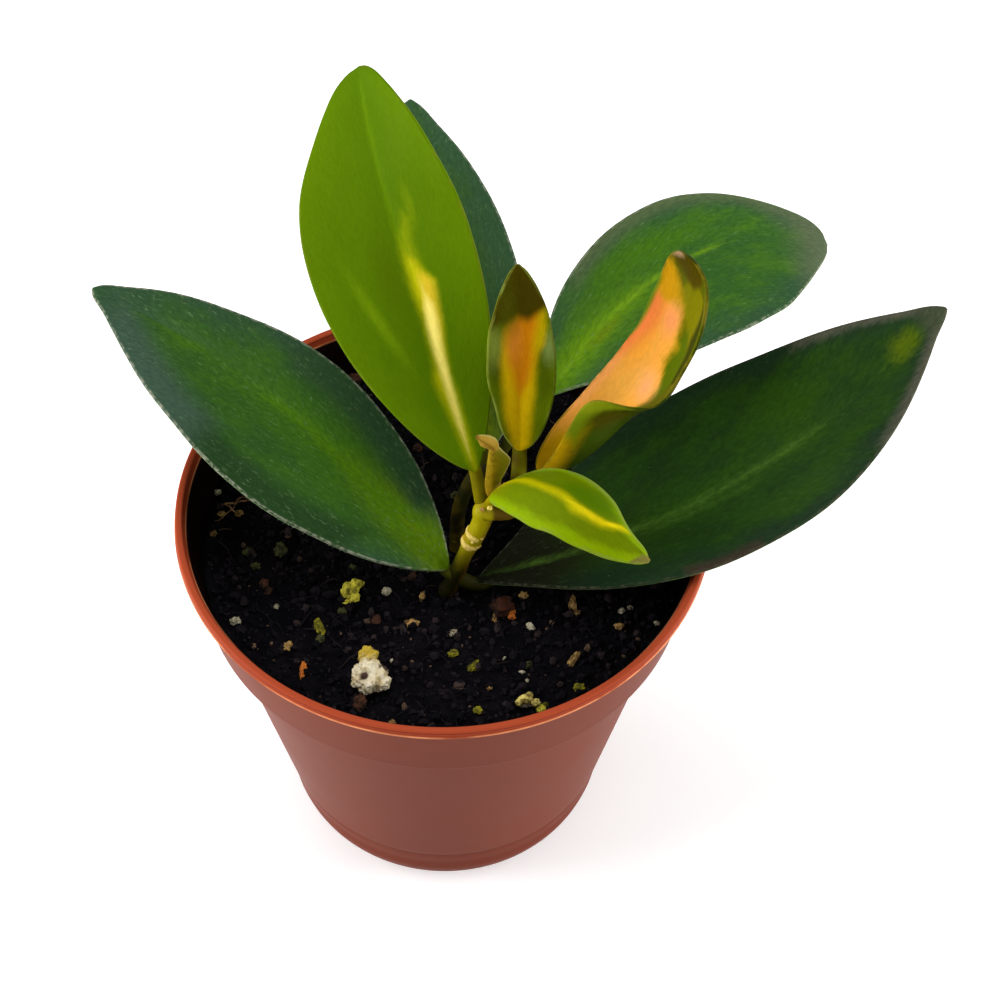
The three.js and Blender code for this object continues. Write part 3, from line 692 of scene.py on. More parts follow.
class Skin:
    """The points of a blade's skin, ring by ring, with what is known of each of them."""

    def __init__(self):
        self.points = []
        self.values = {"along": [], "out": [], "rim": [], "top": [], "share": []}

    def put(self, point, *numbers):
        self.points.append(point)
        for kept, number in zip(self.values.values(), numbers):
            kept.append(number)


def blade_layers(leaf, where, v, widths):
    """The blade's thickness at one place, how far its groove and veins sink in, and how deep its keel is."""
    width = widths[0 if v >= 0 else 1]
    x = v * width
    narrow = min(1, width)
    groove = leaf.get("groove", GROOVE) * math.exp(-(x / GROOVE_HALF) ** 2) * (1 - where) ** 0.5 * narrow
    keel = KEEL * math.exp(-(x / KEEL_HALF) ** 2) * (1 - where) ** 0.7 * narrow
    vein = (where * leaf["length"] - abs(x) * VEIN_SLANT) % VEIN_STEP - VEIN_STEP / 2
    ridge = VEIN_HIGH * math.exp(-(vein / VEIN_HALF) ** 2)
    ridge *= min(1, abs(x) / 2) * (1 - abs(v)) * min(1, width / 6)
    thick = RIM_THICKNESS + (leaf["thick"] - RIM_THICKNESS) * (1 - v * v)
    return thick, groove + ridge, keel


def make_blade(leaf, seed):
    """The blade as one closed skin: upper face, rounded rim, lower face, rounded rim."""
    steps, half = leaf["grid"]
    s, at, _, right, up = midrib(leaf, steps)
    across = np.sin(np.linspace(-1, 1, 2 * half + 1) * ACROSS_SPREAD) / math.sin(ACROSS_SPREAD)
    skin = Skin()
    wave = np.random.default_rng(seed).uniform(0, ANY_TURN, 4)
    for i, where in enumerate(s):
        widths = [max(half_width(leaf, side, where), LEAST_HALF_WIDTH) for side in (0, 1)]
        upper, lower = [], []
        for v in across:
            side = 0 if v >= 0 else 1
            width = widths[side]
            out, rise, turn, grow = section(leaf, where, v, width)
            normal = up[i] * math.cos(turn) - right[i] * math.sin(turn)
            ripple = math.sin(where * RIPPLE_WAVES[0] + wave[side])
            ripple += SECOND_RIPPLE * math.sin(where * RIPPLE_WAVES[1] + wave[2 + side])
            place = at[i] + right[i] * out + up[i] * rise
            place = place + normal * ripple * RIPPLE * abs(v) ** 4 * min(1, width / 4)
            thick, sunk, keel = blade_layers(leaf, where, v, widths)
            thick *= grow * min(1, 0.35 + min(widths) / 1.5)
            upper.append(place + normal * (thick / 2 - sunk))
            lower.append(place - normal * (thick / 2 + keel))
        run = where * leaf["length"]
        put_face(skin, upper, across, widths, run, 1.0, where)
        round_rim(skin, upper[-1], lower[-1], upper[-2], run, widths[0], (0.6, 0.4), where)
        put_face(skin, lower[::-1], across[::-1], widths, run, 0.0, where)
        round_rim(skin, lower[0], upper[0], lower[1], run, -widths[1], (0.4, 0.6), where)
    ring = len(skin.points) // (steps + 1)
    faces = []
    for i in range(steps):
        for j in range(ring):
            n = (j + 1) % ring
            faces.append((i * ring + j, (i + 1) * ring + j, (i + 1) * ring + n, i * ring + n))
    faces.append(tuple(range(ring)))
    faces.append(tuple(steps * ring + j for j in range(ring))[::-1])
    return np.array(skin.points), faces, {key: np.array(numbers) for key, numbers in skin.values.items()}


def put_face(skin, points, across, widths, run, top, where):
    for point, v in zip(points, across):
        width = widths[0 if v >= 0 else 1]
        skin.put(point, run, v * width, (1 - abs(v)) * width, top, where)


def round_rim(skin, first, last, before, run, out, tops, where):
    """Two points that carry the skin round the rim from one face to the other."""
    middle = (first + last) / 2
    span = np.linalg.norm(first - last)
    outward = first - before
    outward = outward - (first - last) * np.dot(outward, first - last) / max(span, 1e-6) ** 2
    bulge = outward / max(np.linalg.norm(outward), 1e-6) * span * RIM_BULGE
    for end, top in zip((first, last), tops):
        skin.put(middle + bulge + (end - middle) * 0.45, run, out, 0.0, top, where)


# Colour zones on the leaves. Each has the name of its attribute, how soft and how ragged its edge is in mm,
# its colour, and its shape: how far inside it each place p of the blade lies, in mm.

def strip(*edges, most=None):
    """A streak; edges are (share along, left edge, right edge)."""
    def inside(p):
        where, left, right = np.array(edges).T
        depth = np.minimum(np.interp(p.s, where, right) - p.out, p.out - np.interp(p.s, where, left))
        return depth if most is None else np.minimum(depth, most(p))
    return inside


def spot(along, out, centre, half):
    away = np.hypot((along - centre[0]) / half[0], (out - centre[1]) / half[1])
    return (1 - away) * min(half)


def oval(centre, half):
    return lambda p: spot(p.along, p.out, centre, half)


def below(zone):
    """Whether a zone lies on the leaf's lower face."""
    return zone[0].startswith("under_")


LEAF_ZONES = {
    "leaf_tall": [
        ("shaded", 2.0, 0.4, (68, 92, 0), oval((29.0, -2.6), (6.0, 2.0))),
        ("side_vein", 0.9, 0.3, (98, 126, 4),
         lambda p: spot(p.along + p.out * 0.9, p.out + (p.along - 24.5) * 0.25, (18.6, -6.4), (3.2, 0.5))),
        ("spur", 0.7, 0.3, (100, 118, 2), oval((37.2, 2.9), (1.8, 0.4))),
        ("trail", 1.1, 0.3, (110, 126, 2), strip(
            (0, 0, -2), (0.4, 0, -1), (0.46, -0.8, 2.2), (0.5, -0.6, 1.9), (0.54, -0.5, 1.7),
            (0.575, 0.4, 2.0), (0.6, 1.2, 2.2), (0.62, 1.5, 1.4), (0.66, 2, 0), (1, 0, -3),
        )),
        ("midline", 0.9, 0.3, (86, 116, 2), strip(
            (0, 0, -2), (0.48, 0.2, -0.4), (0.56, -0.1, 0.1), (0.8, -0.1, 0.1), (0.95, 0, 0), (1, 0, -2),
        )),
        ("streak", 1.1, 0.3, (164, 162, 4), strip(
            (0, -0.3, -0.1), (0.05, -0.6, 0.1), (0.1, -0.8, 0.2), (0.17, -1.1, 0.4), (0.2, -1.4, 0.5),
            (0.235, -1.5, 0.5), (0.26, -0.9, 0.8), (0.3, -0.5, 1.1), (0.34, -0.3, 1.6), (0.38, -0.2, 2.0),
            (0.43, -0.3, 2.6), (0.45, -0.3, 3.0), (0.465, -0.2, 2.3), (0.48, -0.1, 1.7), (0.51, 0.0, 0.9),
            (0.53, 0.3, -0.4), (1, 0, -4),
        )),
        ("gold", 1.3, 0.2, (208, 170, 44), strip(
            (0, 0, -3), (0.3, 0.9, 0.5), (0.36, 0.7, 1.5), (0.42, 1.0, 2.2), (0.45, 1.3, 2.4),
            (0.47, 1.5, 1.4), (0.49, 2, 0.6), (1, 0, -4),
        )),
        ("core", 0.7, 0.15, (230, 212, 108), strip(
            (0, 0.1, -1.4), (0.06, -0.2, -0.5), (0.12, -0.45, -0.1), (0.2, -0.5, 0.25), (0.3, -0.3, 0.8),
            (0.36, 0.0, 1.4), (0.4, 0.5, 1.6), (0.43, 1.2, 1.0), (1, 0, -6),
        )),
        ("dry_tip", 0.7, 0.3, (104, 98, 24), strip(
            (0, 0, -9), (0.95, 9, 9), (0.985, 1.6, 9), (0.995, 0.4, 9), (1, -0.2, 9),
        )),
    ],
    "leaf_young_upright": [
        ("dark_right", 0.9, 0.4, (64, 78, 0), oval((12.5, 3.4), (4.5, 0.9))),
        ("dusky", 0.8, 0.4, (56, 68, 0), oval((13.2, -3.4), (1.8, 1.0))),
        ("pale", 1.0, 0.4, (104, 116, 40), oval((16.2, -3.6), (2.6, 1.0))),
        ("pale_right", 0.9, 0.4, (104, 120, 56), oval((15.6, 4.0), (1.8, 0.8))),
        ("stripe", 0.9, 0.25, (184, 150, 2), strip(
            (0, -0.3, 0.3), (0.05, -0.9, 1.0), (0.1, -1.3, 1.15), (0.15, -1.8, 1.3), (0.2, -2.1, 1.4),
            (0.27, -2.3, 1.7), (0.35, -2.4, 2.0), (0.45, -2.6, 2.1), (0.5, -2.7, 2.1), (0.55, -2.6, 2.5),
            (0.6, -2.4, 3.1), (0.68, -2.1, 3.4), (0.74, -1.2, 3.4), (0.8, 0.2, 3.1), (0.84, 1.8, 2.6),
            (0.88, 3, 2), (1, 0, -1),
        )),
        ("lime", 0.8, 0.3, (160, 140, 0), strip(
            (0, 0, -3), (0.54, 2, 1.6), (0.58, 1.8, 3.0), (0.62, 2.0, 3.3), (0.72, 2.4, 3.3),
            (0.78, 2.7, 3.0), (0.82, 3, 2),
        )),
        ("glow", 1.0, 0.35, (178, 108, 4), strip(
            (0, 0, -2), (0.28, 0, -0.6), (0.4, -0.9, 1.2), (0.5, -1.6, 1.8), (0.6, -1.6, 1.9),
            (0.68, -1.2, 2.3), (0.74, -0.4, 2.4), (0.8, 1.2, 2.4), (0.84, 1.8, 2.0), (1, 0, -1),
        )),
        # Painted highlight on the orange of the stripe.
        ("warm_highlight", 1.2, 0.4, (190, 116, 32), oval((16.4, -0.9), (2.2, 0.9))),
        ("dark_tip", 1.0, 0.5, (58, 50, 0),
         lambda p: np.minimum(3, p.along - 19.9 + 0.25 * np.abs(p.out + 0.5) - np.maximum(0, p.out - 1.2))),
        ("tip_green", 1.6, 0.8, (66, 68, 2), oval((21.6, -1.8), (2.6, 1.0))),
    ],
    "leaf_young_curled": [
        ("olive", 0.9, 0.6, (104, 100, 0), strip(
            (0, 0, -2), (0.7, 8, 7), (0.76, 4.4, 7.6), (0.82, 1.6, 8.2), (0.87, 0.8, 8.6),
            (0.91, 2.4, 4.6), (0.94, 4, 3), (1, 0, -9),
        )),
        ("moss", 0.7, 0.6, (70, 86, 0), strip(
            (0, 0, -2), (0.5, 7, 6), (0.56, 4, 8), (0.62, 3.4, 8.4), (0.7, 3.6, 7.6), (0.74, 4.6, 6.0),
            (0.78, 6, 5),
        )),
        # Painted shade: the dark valley between the rolled right margin and the blade.
        ("band", 0.8, 0.4, (44, 50, 0), strip(
            (0, 0, -9), (0.6, 8.4, 8.2), (0.63, 8.2, 12), (0.7, 8.0, 12), (0.75, 6.8, 10.4),
            (0.8, 7.2, 9.4), (0.86, 7.6, 8.6), (0.9, 7.0, 6), (0.93, 4, 3),
        )),
        ("inner", 1.2, 0.9, (156, 122, 6), strip(
            (0, -2, -0.2), (0.05, -3, 0.2), (0.1, -4, 0.2), (0.2, -6, 1.0), (0.35, -6, 2.2),
            (0.4, -6, 3.8), (0.45, -6, 5.8), (0.5, -6, 6.4), (0.55, -6, 6.0), (0.58, -6, 4.6),
            (0.62, -4.6, 3.6), (0.66, -3.9, 3.8), (0.69, -3.6, 4.8), (0.72, -3.3, 3.6), (0.76, -3.1, 3.4),
            (0.8, -2.9, 2.8), (0.85, -2.5, 1.6), (0.9, -2.2, 0.3), (0.95, -1.8, -0.7), (1, 0, -0.6),
        )),
        ("gold_base", 1.0, 0.5, (192, 146, 6),
         strip((0, -3, 0), (0.1, -5, 0.4), (0.3, -6, 0.6), (1, 0, -2), most=lambda p: 9.5 - p.along)),
        ("peach", 1.3, 1.0, (216, 146, 54), strip(
            (0, 0, -3), (0.14, -4, -3.0), (0.22, -6, -1.4), (0.34, -6, 1.8), (0.42, -6, 4.4),
            (0.5, -6, 5.6), (0.56, -6, 4.8), (0.62, -6, 2.8), (0.69, -6, 3.4), (0.76, -6, 2.2),
            (0.8, -6, 0.9), (0.83, -5, -1.2), (0.87, 0, -2.6), (1, 0, -3),
        )),
        ("rim_glow", 0.7, 0.4, (222, 148, 76), strip(
            (0, 0, -9), (0.2, -3, -4), (0.3, -6, -3.3), (0.6, -6, -3.6), (0.66, -3, -4), (1, 0, -9),
        )),
        # Painted shade on the peach, towards the curled right half.
        ("pink_shade", 1.8, 0.8, (216, 148, 92), oval((19.6, 2.6), (1.6, 2.8))),
        ("light", 2.0, 0.8, (224, 158, 62), oval((17.0, -0.6), (4.4, 2.0))),
        ("orange", 1.6, 0.8, (214, 120, 44), strip(
            (0, 0, -9), (0.58, -2, -5), (0.66, -6, -2.0), (0.74, -6, -0.8), (0.8, -6, -1.0),
            (0.84, -2, -5), (1, 0, -9),
        )),
        ("amber", 1.4, 0.8, (222, 146, 44), oval((23.6, -2.2), (3.2, 1.4))),
        ("gold_top", 1.4, 0.6, (178, 128, 6), strip(
            (0, 0, -9), (0.78, -3.6, -1.4), (0.83, -3.4, 0.8), (0.88, -2.9, 0.2), (0.93, -2.4, -0.5),
            (0.97, -2, -2.4), (1, 0, -9),
        )),
        ("blush", 1.8, 0.8, (212, 112, 52), strip(
            (0, 0, -9), (0.5, -4, -5), (0.58, -6, -3.0), (0.7, -6, -1.4), (0.79, -6, -1.0),
            (0.84, -3, -4), (1, 0, -9),
        )),
        ("pink_high", 1.4, 0.8, (212, 132, 74), oval((28.8, 1.0), (2.0, 1.5))),
        ("green_rim", 0.5, 0.3, (84, 112, 8), strip(
            (0, 0, -9), (0.6, -4, -4.6), (0.66, -9, -4.05), (0.75, -9, -3.4), (0.88, -9, -2.6),
            (0.93, -2, -3),
        )),
        ("brown_tip", 1.1, 0.5, (64, 54, 0),
         strip((0, 0, -9), (0.88, 4, 3), (0.93, 0.8, 6), (0.97, -0.8, 6), (1, -1.2, 6), most=lambda p: 2.5)),
        ("beige_tip", 0.5, 0.3, (146, 118, 84),
         lambda p: np.minimum((p.s - 0.984) * 38, 0.9 - np.abs(p.out))),
        ("under_low", 1.4, 0.5, (24, 38, 3), oval((5.0, 4.6), (5.0, 1.8))),
        ("under_green", 1.4, 0.7, (48, 66, 0), oval((11.5, 9.4), (3.6, 1.8))),
        ("under_brown", 1.4, 0.6, (62, 58, 2), oval((15.0, 10.3), (2.6, 1.5))),
        # Painted shadow on the lower face of the flap.
        ("under_shade", 1.8, 0.6, (18, 34, 3), oval((22.5, 11.0), (3.6, 4.0))),
        ("under_rim", 1.6, 0.4, (150, 118, 2),
         lambda p: np.minimum(1.5 - p.rim, np.minimum(p.out - 3, (0.27 - p.s) * 14))),
        # Painted light: a lit band along the flap's edge.
        ("under_lit_edge", 0.8, 0.3, (84, 100, 4),
         lambda p: np.minimum(1.5 - p.rim, 2.4 - np.abs(p.along - 13.6) * 0.5)),
        ("under_lit", 0.8, 0.35, (104, 116, 8), oval((15.4, 12.8), (3.2, 1.2))),
    ],
    "leaf_small_front": [
        ("light_rim", 0.9, 0.4, (112, 136, 0), lambda p: np.minimum(0.9 - p.rim, p.out)),
        ("shaded", 1.2, 0.6, (66, 94, 0), oval((19.6, -2.3), (4.6, 1.7))),
        ("streak", 0.7, 0.25, (156, 150, 2), strip(
            (0, 0, -1), (0.1, -0.9, -0.1), (0.24, -1.5, -0.3), (0.3, -1.3, -0.1), (0.36, -1.0, 0.1),
            (0.42, -0.9, 0.35), (0.5, -0.9, 0.5), (0.55, -0.6, 0.8), (0.6, -0.1, 1.5), (0.64, 0.0, 1.3),
            (0.7, 0.0, 1.2), (0.75, -0.3, 1.0), (0.79, -1.2, 0.4), (0.82, -1.7, -0.5), (0.85, -1.9, -1.1),
            (0.88, -1.4, -1.7), (1, 0, -2),
        )),
        ("bright", 0.55, 0.15, (206, 182, 10), strip(
            (0, 0, -2), (0.5, 0.5, -0.4), (0.6, 0.45, 0.6), (0.66, 0.3, 0.75), (0.74, 0.15, 0.7),
            (0.78, -0.7, -0.1), (0.81, -1.3, -1.2), (0.85, -1.2, -2.0), (1, 0, -9),
        )),
        ("grey_rim", 0.25, 0.2, (104, 124, 40),
         lambda p: np.minimum(0.25 - p.rim, np.minimum(-p.out, (p.s - 0.4) * 30))),
        ("dry_tip", 0.6, 0.3, (98, 92, 38), strip(
            (0, 0, -9), (0.9, 4, 4), (0.95, 0.6, 9), (0.98, -0.6, 9), (1, -2, 9),
        )),
    ],
    "leaf_right": [
        ("blue_side", 2.4, 0.8, (14, 34, 16), oval((14, 6.5), (9.0, 2.4))),
        # Painted shadow over the base of the blade.
        ("base_shadow", 7.0, 1.0, (16, 18, 4), lambda p: 15 - p.along - np.maximum(0, p.out - 3) * 1.2),
        ("bright_low", 2.6, 1.6, (36, 66, 4), oval((51, -5.5), (7.0, 3.4))),
        ("bright_top", 2.0, 1.2, (36, 64, 14), oval((47, 7.0), (6.0, 2.0))),
        ("grey_side", 0.9, 0.8, (74, 74, 60),
         lambda p: np.minimum(0.8 - p.rim, np.minimum(p.out + 40, (p.s - 0.74) * 40))),
        ("mauve", 1.0, 0.6, (56, 46, 36),
         lambda p: np.minimum(1.0 - p.rim, np.minimum(p.out, 5 - np.abs(p.along - 33)))),
        ("vein", 1.0, 0.9, (66, 96, 28), strip(
            (0, 0, -1), (0.28, -0.2, 0.3), (0.4, -0.2, 0.5), (0.55, -0.3, 0.3), (0.66, -0.1, -0.2),
            (0.9, 0, -1.4),
        )),
        ("second", 0.7, 0.5, (60, 88, 26), strip(
            (0, 0, -1), (0.3, 1.4, 1.2), (0.4, 1.2, 1.7), (0.52, 1.6, 1.8), (0.58, 2, 1), (1, 0, -3),
        )),
        ("patch", 1.2, 1.2, (70, 88, 2), oval((70.6, -1.0), (2.4, 1.6))),
        ("pale_tip", 2.0, 1.0, (56, 62, 44), lambda p: np.minimum(p.along - 74.5 - np.abs(p.out) * 0.3, 3)),
    ],
    "leaf_back_right": [
        ("lower_light", 2.4, 1.2, (58, 98, 12), oval((24, -4.5), (10.0, 2.6))),
        ("grey_side", 1.6, 0.8, (74, 88, 56),
         lambda p: np.minimum(1.6 - p.rim, np.minimum(-p.out, (p.s - 0.3) * 30))),
        # Painted sheen: grey over the tip.
        ("grey_tip_sheen", 4.5, 1.8, (76, 88, 62), lambda p: np.minimum(p.along - 47.5 + np.abs(p.out) * 0.3, 5)),
        ("vein", 0.7, 0.4, (100, 138, 16), strip(
            (0, 0, -1), (0.08, -0.3, 0.4), (0.4, -0.25, 0.4), (0.62, -0.2, 0.2), (0.72, 0, -0.4),
            (1, 0, -2),
        )),
        ("olive", 0.9, 0.5, (92, 114, 6), oval((12.6, 1.0), (2.0, 0.6))),
    ],
    "leaf_left": [
        ("dark_low", 2.4, 1.0, (30, 56, 24),
         lambda p: np.minimum(4.5 - p.rim, np.minimum(-p.out, 14 - np.abs(p.along - 26)))),
        ("dark_high", 2.4, 1.0, (40, 66, 38),
         lambda p: np.minimum(4.0 - p.rim, np.minimum(p.out, 14 - np.abs(p.along - 22)))),
        # Painted sheen: bluish grey along the lower left margin.
        ("blue_side", 3.0, 1.0, (54, 76, 60),
         lambda p: np.minimum(5.0 - p.rim, np.minimum(-p.out, 8 - np.abs(p.along - 50) * 0.7))),
        ("glow", 1.4, 1.0, (70, 108, 6), strip(
            (0, -1, 1), (0.1, -2.4, 2.2), (0.2, -2.6, 1.6), (0.26, -1.4, 1.0), (0.5, -0.6, 0.6),
            (0.6, 0, -0.4), (1, 0, -2),
        )),
        ("yellow", 1.2, 0.8, (84, 114, 2), strip(
            (0, -1.4, 1), (0.06, -1.6, 1.2), (0.12, -0.7, 0.6), (0.17, 0, -0.4), (1, 0, -2),
        )),
    ],
}


class Place:
    """Where a blade's points lie: share of the length, mm along, mm right of the midrib, mm from the rim."""

    def __init__(self, value):
        self.s = value["share"]
        self.along = value["along"]
        self.out = value["out"]
        self.rim = value["rim"]


def make_stalk(leaf):
    """The stalk and the keel that it runs into under the blade."""
    steps = 60
    _, at, _, _, up = midrib(leaf, steps)
    stations = list(leaf["stalk"])
    radii = [leaf["stalk_r"] * 1.05] + [leaf["stalk_r"]] * (len(stations) - 1)
    for k, share in enumerate((0.0, 0.04, 0.1, 0.2, 0.31, 0.42)):
        i = round(share * steps)
        r = leaf["stalk_r"] * (0.9 - 0.11 * k)
        stations.append(tuple(at[i] - up[i] * (r - leaf["thick"] * 0.25 + 0.12 * min(k, 2))))
        radii.append(r)
    line, where = smooth_path(stations, 12 * len(stations))
    return tube(line, np.interp(where, range(len(radii)), radii), 16)


# What a point on the stalk gets for each attribute. It lies far outside all the zones.
STALK_VALUES = {
    "along": 0.0, "out": 0.0, "rim": 3.0, "top": 1.0, "share": 0.0, "stalk": 1.0, "root": 1.0, "middle": 0.0,
}
STALK_OUTSIDE = -9.0


def make_leaf(name, leaf, seed):
    points, faces, value = make_blade(leaf, seed)
    place = Place(value)
    look = LEAF_LOOKS[name]
    zones = LEAF_ZONES.get(name, [])
    value["stalk"] = np.zeros(len(points))
    for key, *_, shape in zones:
        value[key] = shape(place)
    for key, (reach, to) in (("middle", look["centre"]), ("root", look["base"])):
        value[key] = np.exp(-(place.out / reach) ** 2) * (1 - soft_step(place.s, to * 0.3, to))
    stalk = make_stalk(leaf)
    for key, numbers in value.items():
        on_stalk = np.full(len(stalk[0]), STALK_VALUES.get(key, STALK_OUTSIDE))
        value[key] = np.concatenate([numbers, on_stalk])
    skin = leaf_material(name + "_skin", look, zones)
    return add_piece(name + "_fine", join([(points, faces), stalk]), skin, leaf["slot"], name, **value)


# Hairs: their radius in mm, how close their groups lie, and the turns of a spike's three sides
HAIR_RADIUS = (0.012, 0.026)
HAIR_GROUPS = 0.22
HAIR_SPIKE = (0, 2.1, 4.2)


def make_hairs(name, leaf, count, rim_count, seed, size, material):
    """Short bent hairs, as slim spikes, in loose groups on a blade's upper face and along its rim."""
    rng = np.random.default_rng(seed)
    steps = 200
    _, at, ahead, right, up = midrib(leaf, steps)
    points = []
    faces = []
    for k in range(count + rim_count):
        on_rim = k >= count
        where = rng.uniform(0.02, 0.985)
        v = rng.choice((-1.0, 1.0)) if on_rim else rng.uniform(-0.97, 0.97)
        chance = rng.uniform()
        i = int(where * steps)
        side = 0 if v >= 0 else 1
        width = half_width(leaf, side, where)
        out, rise, turn, _ = section(leaf, where, v, width)
        normal = up[i] * math.cos(turn) - right[i] * math.sin(turn)
        base = at[i] + right[i] * out + up[i] * rise
        if noise.noise(Vector(base * HAIR_GROUPS)) < chance * 0.8 - 0.4:
            continue
        thick = RIM_THICKNESS + (leaf["thick"] - RIM_THICKNESS) * (1 - v * v)
        spin = rng.uniform(0, 2 * math.pi)
        if on_rim:
            way = right[i] * v + ahead[i] * rng.uniform(-0.3, 0.9) + normal * rng.uniform(-0.5, 0.6)
            base = base + right[i] * v * 0.15
            tall = size * rng.uniform(0.4, 1.1)
        else:
            way = normal * rng.uniform(0.15, 0.6) + ahead[i] * math.cos(spin) + right[i] * math.sin(spin)
            base = base + normal * (thick / 2 - 0.06)
            tall = size * rng.uniform(0.3, 1.7)
        way = unit(way)
        across = unit(np.cross(way, normal + 0.1 * right[i]))
        other = np.cross(way, across)
        r = rng.uniform(*HAIR_RADIUS)
        bend = across * rng.uniform(-0.5, 0.5) * tall
        first = len(points)
        for share, r_share in ((0.0, 1.0), (0.55, 0.75)):
            centre = base + way * tall * share + bend * share * share
            for a in HAIR_SPIKE:
                points.append(centre + (across * math.cos(a) + other * math.sin(a)) * r * r_share)
        points.append(base + way * tall * 0.9 + bend - normal * 0.1 * tall)
        for a, b in ((0, 1), (1, 2), (2, 0)):
            faces.append((first + a, first + b, first + 3 + b, first + 3 + a))
            faces.append((first + 3 + a, first + 3 + b, first + 6))
    return add_piece(name + "_hairs", (points, faces), material, leaf["slot"], smooth=False)


# Stems

def make_stem(stations, material, node):
    line, where = smooth_path([p for p, _ in stations], 16 * len(stations))
    radii = np.interp(where, range(len(stations)), [r for _, r in stations])
    shape = tube(line, radii, 28, rough=0.012, seed=3)
    far = soft_step(shape[0][:, 0], 6.2, 8.0)
    return add_piece(node + "_fine", shape, material, "stem_green", node, far=far)


# The node half way up the main stem: its lower and upper end, half its length and the dot in its groove
SCAR_FOOT = np.array((3.75, -8.25, 67.3))
SCAR_HEAD = np.array((4.95, -8.1, 71.1))
SCAR_HALF = 1.95
SCAR_DOT = np.array((4.3, -9.42, 69.75))
SCAR_DOT_R = 0.26


def make_scar():
    """The wrinkled node half way up the main stem: two lips, a groove and a pale dot in it."""
    rng = np.random.default_rng(SEEDS["scar"])
    steps, sides = 44, 56
    path = SCAR_FOOT + (SCAR_HEAD - SCAR_FOOT) * np.linspace(0, 1, steps)[:, None]
    t = np.linspace(-SCAR_HALF, SCAR_HALF, steps)
    low_lip = np.exp(-((t + 0.95) / 0.6) ** 2)
    high_lip = np.exp(-((t - 1.05) / 0.55) ** 2)
    ends = np.minimum(1, (SCAR_HALF - np.abs(t)) / 0.35)
    radii = (1.2 + 0.24 * low_lip + 0.24 * high_lip) * (0.72 + 0.28 * ends)
    points, faces = tube(path, radii, sides)
    around = np.tile(full_turn(sides), steps)
    for k, (rings, size) in enumerate(((3, 0.05), (7, 0.035), (13, 0.02))):
        wave = np.sin(rings * around + np.repeat(t, sides) * (2.5 + 2 * k) + rng.uniform(0, ANY_TURN))
        away = points[:-2] - np.repeat(path, sides, axis=0)
        points[:-2] += away * (size * wave)[:, None]
    dot, dot_faces = SPHERES[2]
    shape = join([(points, faces), (dot * SCAR_DOT_R + SCAR_DOT, dot_faces)])
    lip = np.repeat(np.maximum(low_lip, high_lip), sides)
    lip = np.concatenate([lip, (0.0, 0.0), np.ones(len(dot))])
    return add_piece("stem_scar", shape, scar_material(), "stem_green", lip=lip)


# The way that the folded young leaf faces
BUD_FRONT = (0.0, -0.96, 0.28)


def make_bud():
    """The folded young leaf, flatter than wide, with a thin right edge."""
    count, sides = 120, 40
    line, where = smooth_path([(x, BUD_Y, z) for (x, z), *_ in BUD], count)
    left, right, thick = (np.interp(where, range(len(BUD)), [row[k] for row in BUD]) for k in (1, 2, 3))
    ahead = unit(np.gradient(line, axis=0))
    run = np.concatenate([[0], np.cumsum(np.linalg.norm(np.diff(line, axis=0), axis=1))])
    points, along, out, edge = [], [], [], []
    for i in range(count):
        side = unit(np.cross(ahead[i], BUD_FRONT))
        normal = unit(np.cross(ahead[i], side))
        for a in full_turn(sides):
            c, d = math.cos(a), math.sin(a)
            reach = right[i] if c > 0 else left[i]
            thin = abs(d)
            if right[i] > 0.9:
                thin *= 1 - 0.55 * max(0, c) * min(1, (right[i] - 0.9) / 0.6)
            lift = 0.22 * (c * c) * (1 if c > 0 else 0.3)
            points.append(line[i] + side * reach * c + normal * (math.copysign(thin, d) * thick[i] + lift))
            along.append(run[i])
            out.append(c)
            edge.append(max(0.0, (c - 0.86) / 0.14) * min(1.0, max(0.0, (run[i] - 3.5) / 1.5)))
    points = np.array(points)
    points[:, 1] -= 0.5 * soft_step(np.array(along), 11.0, 14.0)
    points = np.vstack([points, points[:sides].mean(axis=0), points[-sides:].mean(axis=0)])
    shape = (points, ring_faces(count, sides, flip=True))
    return add_piece(
        "leaf_bud_fine", shape, bud_material(), "leaf_young", "leaf_bud",
        along=along + [0.0, run[-1]], out=out + [0.0, 0.0], edge=edge + [0.0, 0.0],
    )


# Tiny growth on the nodes: place, half size
STEM_BITS = [
    ((8.2, -8.3, 80.9), 0.36), ((8.75, -8.2, 81.1), 0.42), ((9.25, -8.1, 81.5), 0.3),
    ((7.9, -8.4, 80.3), 0.3), ((6.2, -8.9, 76.9), 0.34), ((5.6, -9.0, 76.6), 0.3),
]
NODE_DOT_AT = (6.6, -9.75, 77.9)
NODE_DOT_HALF = (0.36, 0.36, 0.4)


def make_stem_bits():
    rng = np.random.default_rng(SEEDS["stem_bits"])
    parts = [chunk(rng, place, (size, size * 0.8, size * 0.9), 2, 0.1) for place, size in STEM_BITS]
    skin = grain_material("stem_bit", (170, 128, 68), (108, 62, 28), 1500.0, 0.6)
    add_piece("stem_bits", join(parts), skin, "stem_green")
    dot = grain_material("node_dot", (214, 196, 96), (172, 146, 40), 1500.0, 0.6)
    add_piece("node_dot", chunk(rng, NODE_DOT_AT, NODE_DOT_HALF, 3, 0.05), dot, "stem_green")


# Pot

def outer_radius(z):
    foot = POT_HEIGHT - COLLAR_DEPTH
    if z >= foot:
        return COLLAR_FOOT_R + (POT_RIM_R - 0.8 - COLLAR_FOOT_R) * (z - foot) / COLLAR_DEPTH
    return BASE_R + (COLLAR_FOOT_R - COLLAR_STEP - BASE_R) * z / foot


def arc(centre, r, start, end, count):
    turn = np.radians(np.linspace(start, end, count))
    return [(centre[0] + r * math.cos(a), centre[1] + r * math.sin(a)) for a in turn]


